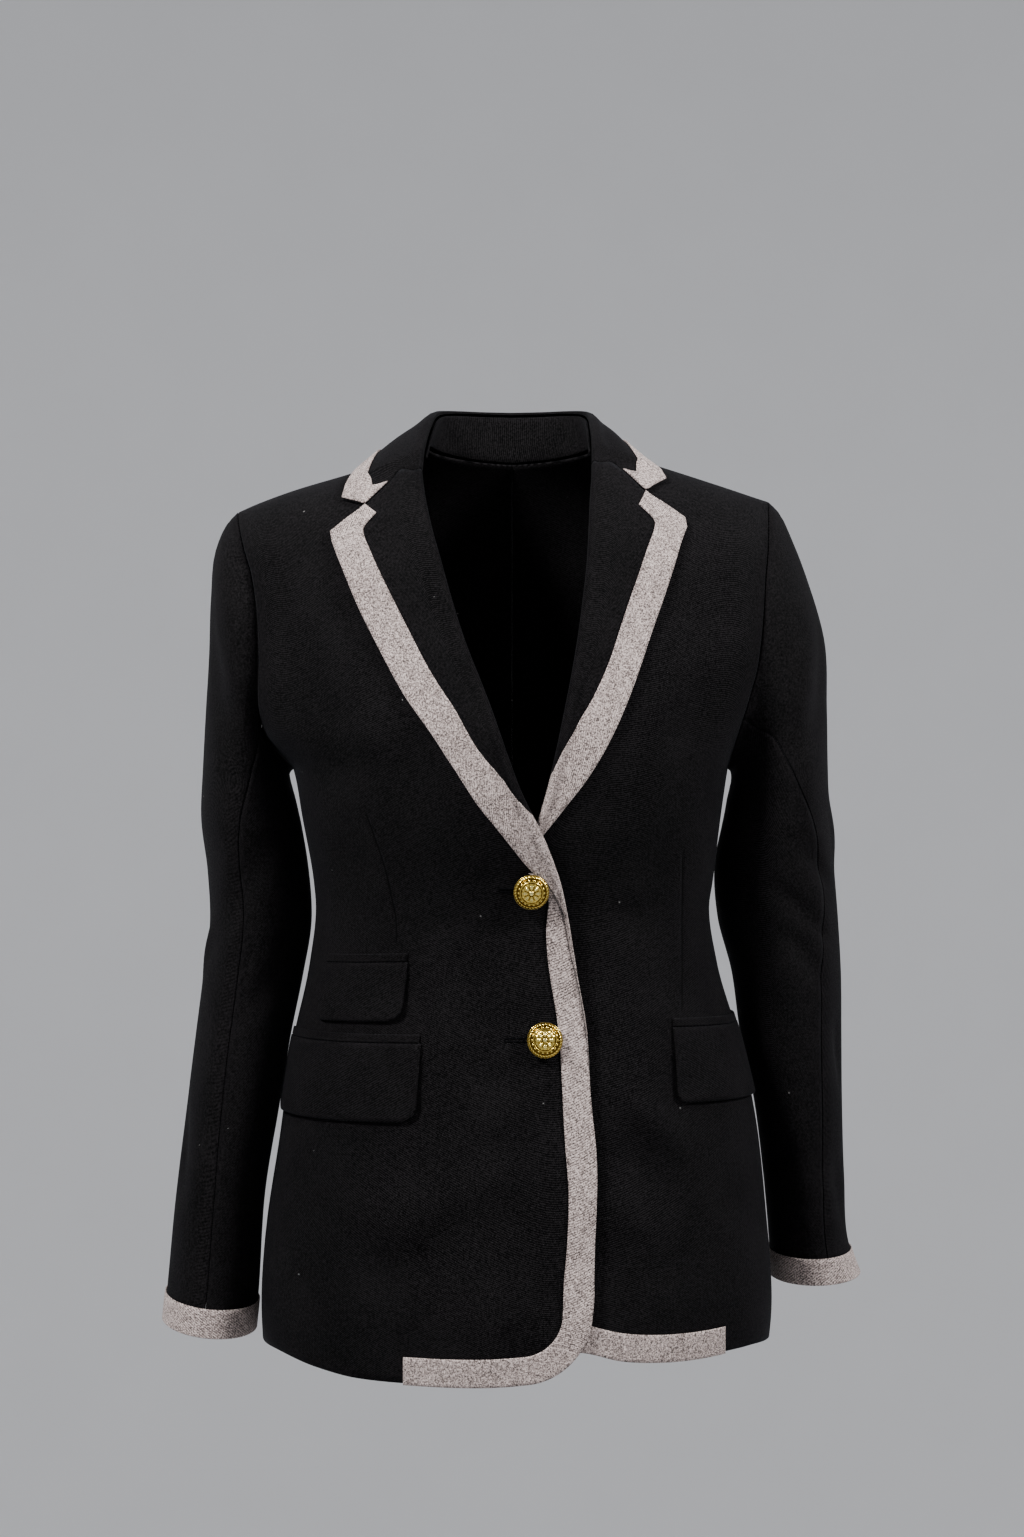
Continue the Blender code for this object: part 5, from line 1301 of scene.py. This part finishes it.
def make_buttonhole(name, look):
    """Close buttonhole stitches round a slit, rounded at both ends."""
    left, right, z = BUTTONHOLES[name]
    straight = np.linspace(0, 1, 40)
    bend = np.radians(np.linspace(-90, 90, 14))[1:-1]
    x = [left + (right - left) * straight, right + SLIT_HALF * np.cos(bend),
         right + (left - right) * straight, left - SLIT_HALF * np.cos(bend)]
    z = [z - SLIT_HALF + 0 * straight, z + SLIT_HALF * np.sin(bend),
         z + SLIT_HALF + 0 * straight, z - SLIT_HALF * np.sin(bend)]
    x, z = np.concatenate(x), np.concatenate(z)
    path, ahead = [on_front(x, z, "right", STITCH_LIFT + height)[:, None] for height in (0, 1)]
    out = ahead - path
    side = unit(np.cross(unit(np.roll(path, -1, 0) - np.roll(path, 1, 0)), out))
    radii = STITCH_RADIUS + STITCH_WAVE * np.cos(math.pi * np.arange(len(path)))[:, None, None]
    turn = around(8)[:, None]
    points = path + radii * (np.cos(turn) * side + np.sin(turn) * out)
    show(name, points.reshape(-1, 3), ring_faces(len(path), 8, closed=True), look)


# ---- materials
class Nodes:
    """A short way to write a material's nodes."""

    def __init__(self, name):
        self.material = bpy.data.materials.new(name)
        self.material.use_nodes = True
        self.tree = self.material.node_tree

    def feed(self, node, values):
        """Link a node's inputs to other outputs, or set them."""
        for key, value in values.items():
            if hasattr(value, "is_output"):
                self.tree.links.new(value, node.inputs[key])
            else:
                node.inputs[key].default_value = value

    def add(self, kind, inputs=None, **settings):
        """The outputs of a new node."""
        node = self.tree.nodes.new("ShaderNode" + kind)
        for key, value in settings.items():
            setattr(node, key, value)
        self.feed(node, inputs or {})
        return node.outputs

    def math(self, operation, *values):
        return self.add("Math", dict(enumerate(values)), operation=operation)[0]

    def mixed(self, *terms):
        """Sum of the values of (share, value) pairs, each times its share."""
        parts = [self.math("MULTIPLY", value, share) for share, value in terms]
        total = parts.pop()
        while parts:
            total = self.math("ADD", parts.pop(), total)
        return total

    def blend(self, factor, first, second):
        return self.add("Mix", {"Factor": factor, "A": first, "B": (*second, 1)},
                        data_type="RGBA")["Result"]

    def ramp(self, factor, *stops):
        outputs = self.add("ValToRGB", {"Fac": factor})
        elements = self.tree.nodes[-1].color_ramp.elements
        while len(elements) < len(stops):
            elements.new(0.5)
        for element, (position, colour) in zip(elements, stops):
            element.position = position
            element.color = (*colour, 1)
        return outputs["Color"]

    def ranged(self, value, low, high, **settings):
        """The share of the way from low to high."""
        return self.add("MapRange", {"Value": value, "From Min": low, "From Max": high},
                        **settings)["Result"]

    def noise(self, vector, scale, detail, roughness):
        return self.add("TexNoise", {"Vector": vector, "Scale": scale, "Detail": detail,
                                     "Roughness": roughness})["Fac"]

    def scaled(self, vector, scale, turn=0.0):
        return self.add("Mapping", {"Vector": vector, "Scale": scale,
                                    "Rotation": (0, 0, turn)})["Vector"]

    def bump(self, height, distance, strength, **normal):
        return self.add("Bump", {"Height": height, "Distance": distance, "Strength": strength,
                                 **normal})["Normal"]

    def wave(self, vector, period, turn):
        """Ridges `period` metres apart, running at `turn` degrees to the cut's grain."""
        return self.add("TexWave", {"Vector": self.scaled(vector, (1, 1, 1), math.radians(turn)),
                                    "Scale": 2 * math.pi / 20 / period, "Distortion": 0.6,
                                    "Detail": 2.0, "Detail Scale": 2.0},
                        bands_direction="X")["Fac"]

    def map(self, name):
        return self.add("UVMap", uv_map=name)["UV"]

    def body(self):
        return self.add("TexCoord")["Object"]

    def finish(self, **values):
        self.feed(self.tree.nodes["Principled BSDF"],
                  {key.replace("_", " "): value for key, value in values.items()})
        return self.material


LINE_END = 0.06  # share of a line over which each of its ends fades


def seam_line(nodes, place, knots, width):
    """1 on a line down the front given by its (x, z) knots in mm, fading to 0 beside it."""
    spot = nodes.add("SeparateXYZ", {"Vector": place})
    knots = sorted(knots, key=lambda knot: knot[1])
    low, high = knots[0][1] * MM, knots[-1][1] * MM
    along = nodes.ranged(spot["Z"], low, high)
    height = nodes.add("FloatCurve", {"Value": along})[0]
    mapping = nodes.tree.nodes[-1].mapping
    points = mapping.curves[0].points
    while len(points) < len(knots):
        points.new(0.5, 0.5)
    left = min(x for x, _ in knots) - 1
    span = max(x for x, _ in knots) + 1 - left
    for point, (x, z) in zip(points, knots):
        point.location = ((z * MM - low) / (high - low), (x - left) / span)
    mapping.update()
    across = nodes.math("MULTIPLY_ADD", height, span * MM, left * MM)
    off = nodes.math("ABSOLUTE", nodes.math("SUBTRACT", spot["X"], across))
    near = nodes.ranged(off, width, 0.0, interpolation_type="SMOOTHSTEP")
    ends = [nodes.ranged(along, end, end + inward) for end, inward in
            ((0.0, LINE_END), (1.0, -LINE_END))]
    ahead = nodes.math("LESS_THAN", spot["Y"], 0.0)
    return nodes.math("MULTIPLY", nodes.math("MULTIPLY", near, ahead),
                      nodes.math("MULTIPLY", *ends))


# Lines of the front darts, in mm: each gets a bump fold and a line of painted shade down its crease.
DARTS = (
    ((-101.1, -261.8), (-93.6, -282.3), (-86.3, -305.7), (-82.3, -324.4), (-79.6, -339.5),
     (-79.6, -358)),
    ((118.2, -290), (118.6, -320), (118.6, -348.2), (117.8, -406)),
)


def wool_look(name="black_wool_twill", darts=()):
    """Black fine twill wool with a soft nap, a few specks of lint, and painted shade down the crease
    of each dart.
    """
    nodes = Nodes(name)
    cut, body = nodes.map("cut"), nodes.body()
    weave = nodes.mixed((0.7, nodes.wave(cut, 0.0014, 63)), (0.3, nodes.wave(cut, 0.0007, -20)))
    nap = nodes.noise(body, 700, 4, 0.75)
    cells = nodes.add("TexVoronoi", {"Vector": body, "Scale": 95.0, "Randomness": 1.0})
    chosen = nodes.add("SeparateColor", {"Color": cells["Color"]})[0]
    near = nodes.math("LESS_THAN", cells["Distance"],
                      nodes.math("MULTIPLY", nodes.noise(body, 1500, 1, 0.5), 0.11))
    lint = nodes.math("MULTIPLY", near, nodes.math("GREATER_THAN", chosen, 0.965))
    shade = nodes.mixed((0.22, weave), (0.68, nap), (0.1, nodes.noise(body, 26, 3, 0.55)))
    colour = nodes.ramp(shade, (0.44, (0.0002, 0.0002, 0.0003)), (0.60, (0.0125, 0.0112, 0.0120)))
    colour = nodes.blend(lint, colour, (0.16, 0.155, 0.15))
    normal = nodes.bump(nodes.math("ADD", weave, nodes.math("MULTIPLY", nap, 0.8)), 0.00016, 0.55)
    for knots in darts:
        fold = nodes.math("SUBTRACT", 1.0, seam_line(nodes, body, knots, 0.0022))
        normal = nodes.bump(fold, 0.0012, 0.5, Normal=normal)
        # painted shade: a near-black line down the crease of the dart
        line = seam_line(nodes, body, knots, 0.0009)
        colour = nodes.blend(line, colour, (0.0005, 0.0005, 0.0006))
    return nodes.finish(Base_Color=colour, Roughness=0.9, Normal=normal, Sheen_Weight=0.018,
                        Sheen_Roughness=0.4, Sheen_Tint=(0.75, 0.8, 0.95, 1),
                        Specular_IOR_Level=0.05)


# The row of dark stitches that runs from the lapel's edge down inside the front edge.
STITCHES = ((12.7, -301.2), (21.3, -309.2), (26.7, -317.2), (30.7, -325.2), (33.6, -333.2),
            (37.4, -349.2), (39.4, -359.9), (43.4, -375.9), (47.4, -396), (50.6, -420),
            (52.6, -445))


def trim_look(name="grey_heather_trim", stitched=False):
    """Heather grey felted wool: light and dark fibres, a faint twill and edge stitching."""
    nodes = Nodes(name)
    cut, body = nodes.map("cut"), nodes.body()
    fibres = nodes.noise(nodes.scaled(body, (1, 1, 0.7)), 1350, 3, 0.8)
    flecks = nodes.noise(nodes.scaled(body, (0.7, 1, 1)), 900, 3, 0.75)
    cloud = nodes.math("MULTIPLY_ADD", nodes.noise(body, 85, 3, 0.6), 0.05, 0.025)
    twill = nodes.wave(cut, 0.0015, 58)
    shade = nodes.math("ADD", nodes.math("MULTIPLY", fibres, 0.5),
                       nodes.math("ADD", nodes.math("MULTIPLY", flecks, 0.4), cloud))
    shade = nodes.math("ADD", shade, nodes.math("MULTIPLY_ADD", twill, 0.06, -0.03))
    colour = nodes.ramp(shade, (0.43, (0.045, 0.036, 0.034)), (0.5, (0.30, 0.238, 0.22)),
                        (0.57, (0.74, 0.62, 0.58)))
    if stitched:
        thread = nodes.math("MULTIPLY_ADD", nodes.noise(body, 700, 1, 0.5), 0.8, 0.45)
        line = nodes.math("MULTIPLY", seam_line(nodes, body, STITCHES, 0.0008), thread)
        colour = nodes.blend(line, colour, (0.02, 0.018, 0.018))
    normal = nodes.bump(nodes.mixed((1.2, fibres), (0.5, twill)), 0.00022, 0.7)
    return nodes.finish(Base_Color=colour, Roughness=0.93, Normal=normal, Sheen_Weight=0.12,
                        Sheen_Roughness=0.5, Sheen_Tint=(1.0, 0.97, 0.93, 1),
                        Specular_IOR_Level=0.25)


def gold_look():
    """Polished gold-coloured metal, with painted shade in the hollows of its relief and a painted
    highlight on its raised pattern.
    """
    nodes = Nodes("gold_metal")
    height = nodes.add("SeparateXYZ", {"Vector": nodes.map("relief")})["X"]
    scuff = nodes.noise(nodes.body(), 1200, 4, 0.6)
    tone = nodes.math("ADD", height, nodes.math("MULTIPLY_ADD", scuff, 0.16, -0.08))
    # painted light: dark brown painted shade in the low hollows of the relief, up to a pale yellow
    # painted highlight on its raised pattern
    colour = nodes.ramp(tone, (0.0, (0.12, 0.06, 0.005)), (0.1, (0.65, 0.42, 0.06)),
                        (0.24, (1.0, 0.80, 0.22)), (0.6, (1.0, 0.95, 0.50)))
    return nodes.finish(Base_Color=colour, Metallic=1.0,
                        Roughness=nodes.math("MULTIPLY_ADD", scuff, 0.2, 0.1),
                        Normal=nodes.bump(scuff, 0.00003, 0.4))


def thread_look():
    nodes = Nodes("black_thread")
    strands = nodes.noise(nodes.scaled(nodes.body(), (1, 1, 3)), 2600, 3, 0.6)
    colour = nodes.ramp(strands, (0.3, (0.0006, 0.0006, 0.0008)), (0.8, (0.004, 0.004, 0.005)))
    return nodes.finish(Base_Color=colour, Roughness=0.95, Specular_IOR_Level=0.04,
                        Normal=nodes.bump(strands, 0.0001, 0.4))


# ---- studio, in metres
FLOOR_Z = -3.3
FLOOR_RADIUS = 4.0  # where the floor starts to turn up into the studio's wall
SWEEP = 2.0  # radius of that turn
WALL_HEIGHT = 6.5
FLOOR_COLOUR = (0.8, 0.8, 0.81)
WORLD_COLOUR, WORLD_POWER = (0.93, 0.95, 1.0, 1), 0.42
CHEST, WAIST = Vector((0, 0, -0.25)), Vector((0, 0, -0.3))
LAMPS = (  # name, place, aim, size, power
    ("key", (-1.35, -1.25, 1.35), WAIST, 0.45, 80),
    ("second_key", (1.6, -0.95, 1.1), WAIST, 0.45, 58),
    ("rim_right", (-1.3, 0.9, 0.7), CHEST, 0.8, 6),
    ("rim_left", (1.4, 0.8, 0.6), CHEST, 0.8, 6),
)
EYE = (0.0, -1.56, -0.2345)


def floor_look():
    nodes = Nodes("pale_floor")
    paler = tuple(tone * 1.02 for tone in FLOOR_COLOUR)
    colour = nodes.ramp(nodes.noise(nodes.body(), 3.0, 2, 0.5), (0.3, FLOOR_COLOUR), (0.7, paler))
    return nodes.finish(Base_Color=colour, Roughness=0.9)


def make_floor():
    """A round floor that turns up into the studio's wall."""
    rings = [(radius, FLOOR_Z) for radius in (0.01, 1.0, 2.0, 3.0)]
    rings += [(FLOOR_RADIUS + SWEEP * math.sin(a), FLOOR_Z + SWEEP * (1 - math.cos(a)))
              for a in np.linspace(0, math.pi / 2, 17)]
    rings.append((FLOOR_RADIUS + SWEEP, FLOOR_Z + WALL_HEIGHT))
    turn = around(64)
    points = [(radius * math.cos(a), radius * math.sin(a), z) for radius, z in rings for a in turn]
    faces = [(a, d, c, b) for a, b, c, d in ring_faces(len(rings), len(turn))]
    mesh = bpy.data.meshes.new("studio_floor")
    mesh.from_pydata(points, [], faces + [tuple(range(len(turn)))])
    mesh.shade_smooth()
    mesh.materials.append(floor_look())
    add_object("studio_floor", mesh)


def make_lights():
    world = bpy.data.worlds.new("studio")
    world.use_nodes = True
    background = world.node_tree.nodes["Background"].inputs
    background["Color"].default_value = WORLD_COLOUR
    background["Strength"].default_value = WORLD_POWER
    bpy.context.scene.world = world
    for name, spot, aim, size, power in LAMPS:
        lamp = bpy.data.lights.new(name, "AREA")
        lamp.size = size
        lamp.energy = power
        holder = add_object(name, lamp)
        holder.location = spot
        holder.rotation_euler = (aim - Vector(spot)).to_track_quat("-Z", "Y").to_euler()


def make_camera():
    camera = bpy.data.cameras.new("camera")
    camera.sensor_fit = "VERTICAL"
    camera.sensor_height = 36.0
    camera.sensor_width = 24.0
    camera.lens = 50.0
    eye = add_object("camera", camera)
    eye.location = EYE
    eye.rotation_euler = (math.pi / 2, 0, 0)
    bpy.context.scene.camera = eye


# ---- assembly
def main():
    wool, trim, gold, thread = wool_look(), trim_look(), gold_look(), thread_look()
    darted = wool_look("black_wool_twill_front", DARTS)
    stitched = trim_look("grey_heather_trim_stitched", True)
    for side, edge in (("left", trim), ("right", stitched)):
        make_front(side, darted)
        make_back(side, wool)
        make_front_trim(side, edge)
        make_lapel(side, wool, edge)
        make_sleeve(side, wool, trim)
    make_collar(wool, trim)
    for name in POCKETS:
        make_pocket(name, wool)
    for name in BUTTONS:
        make_button(name, gold)
    for name in BUTTONHOLES:
        make_buttonhole(name, thread)
    make_floor()
    make_lights()
    make_camera()


main()
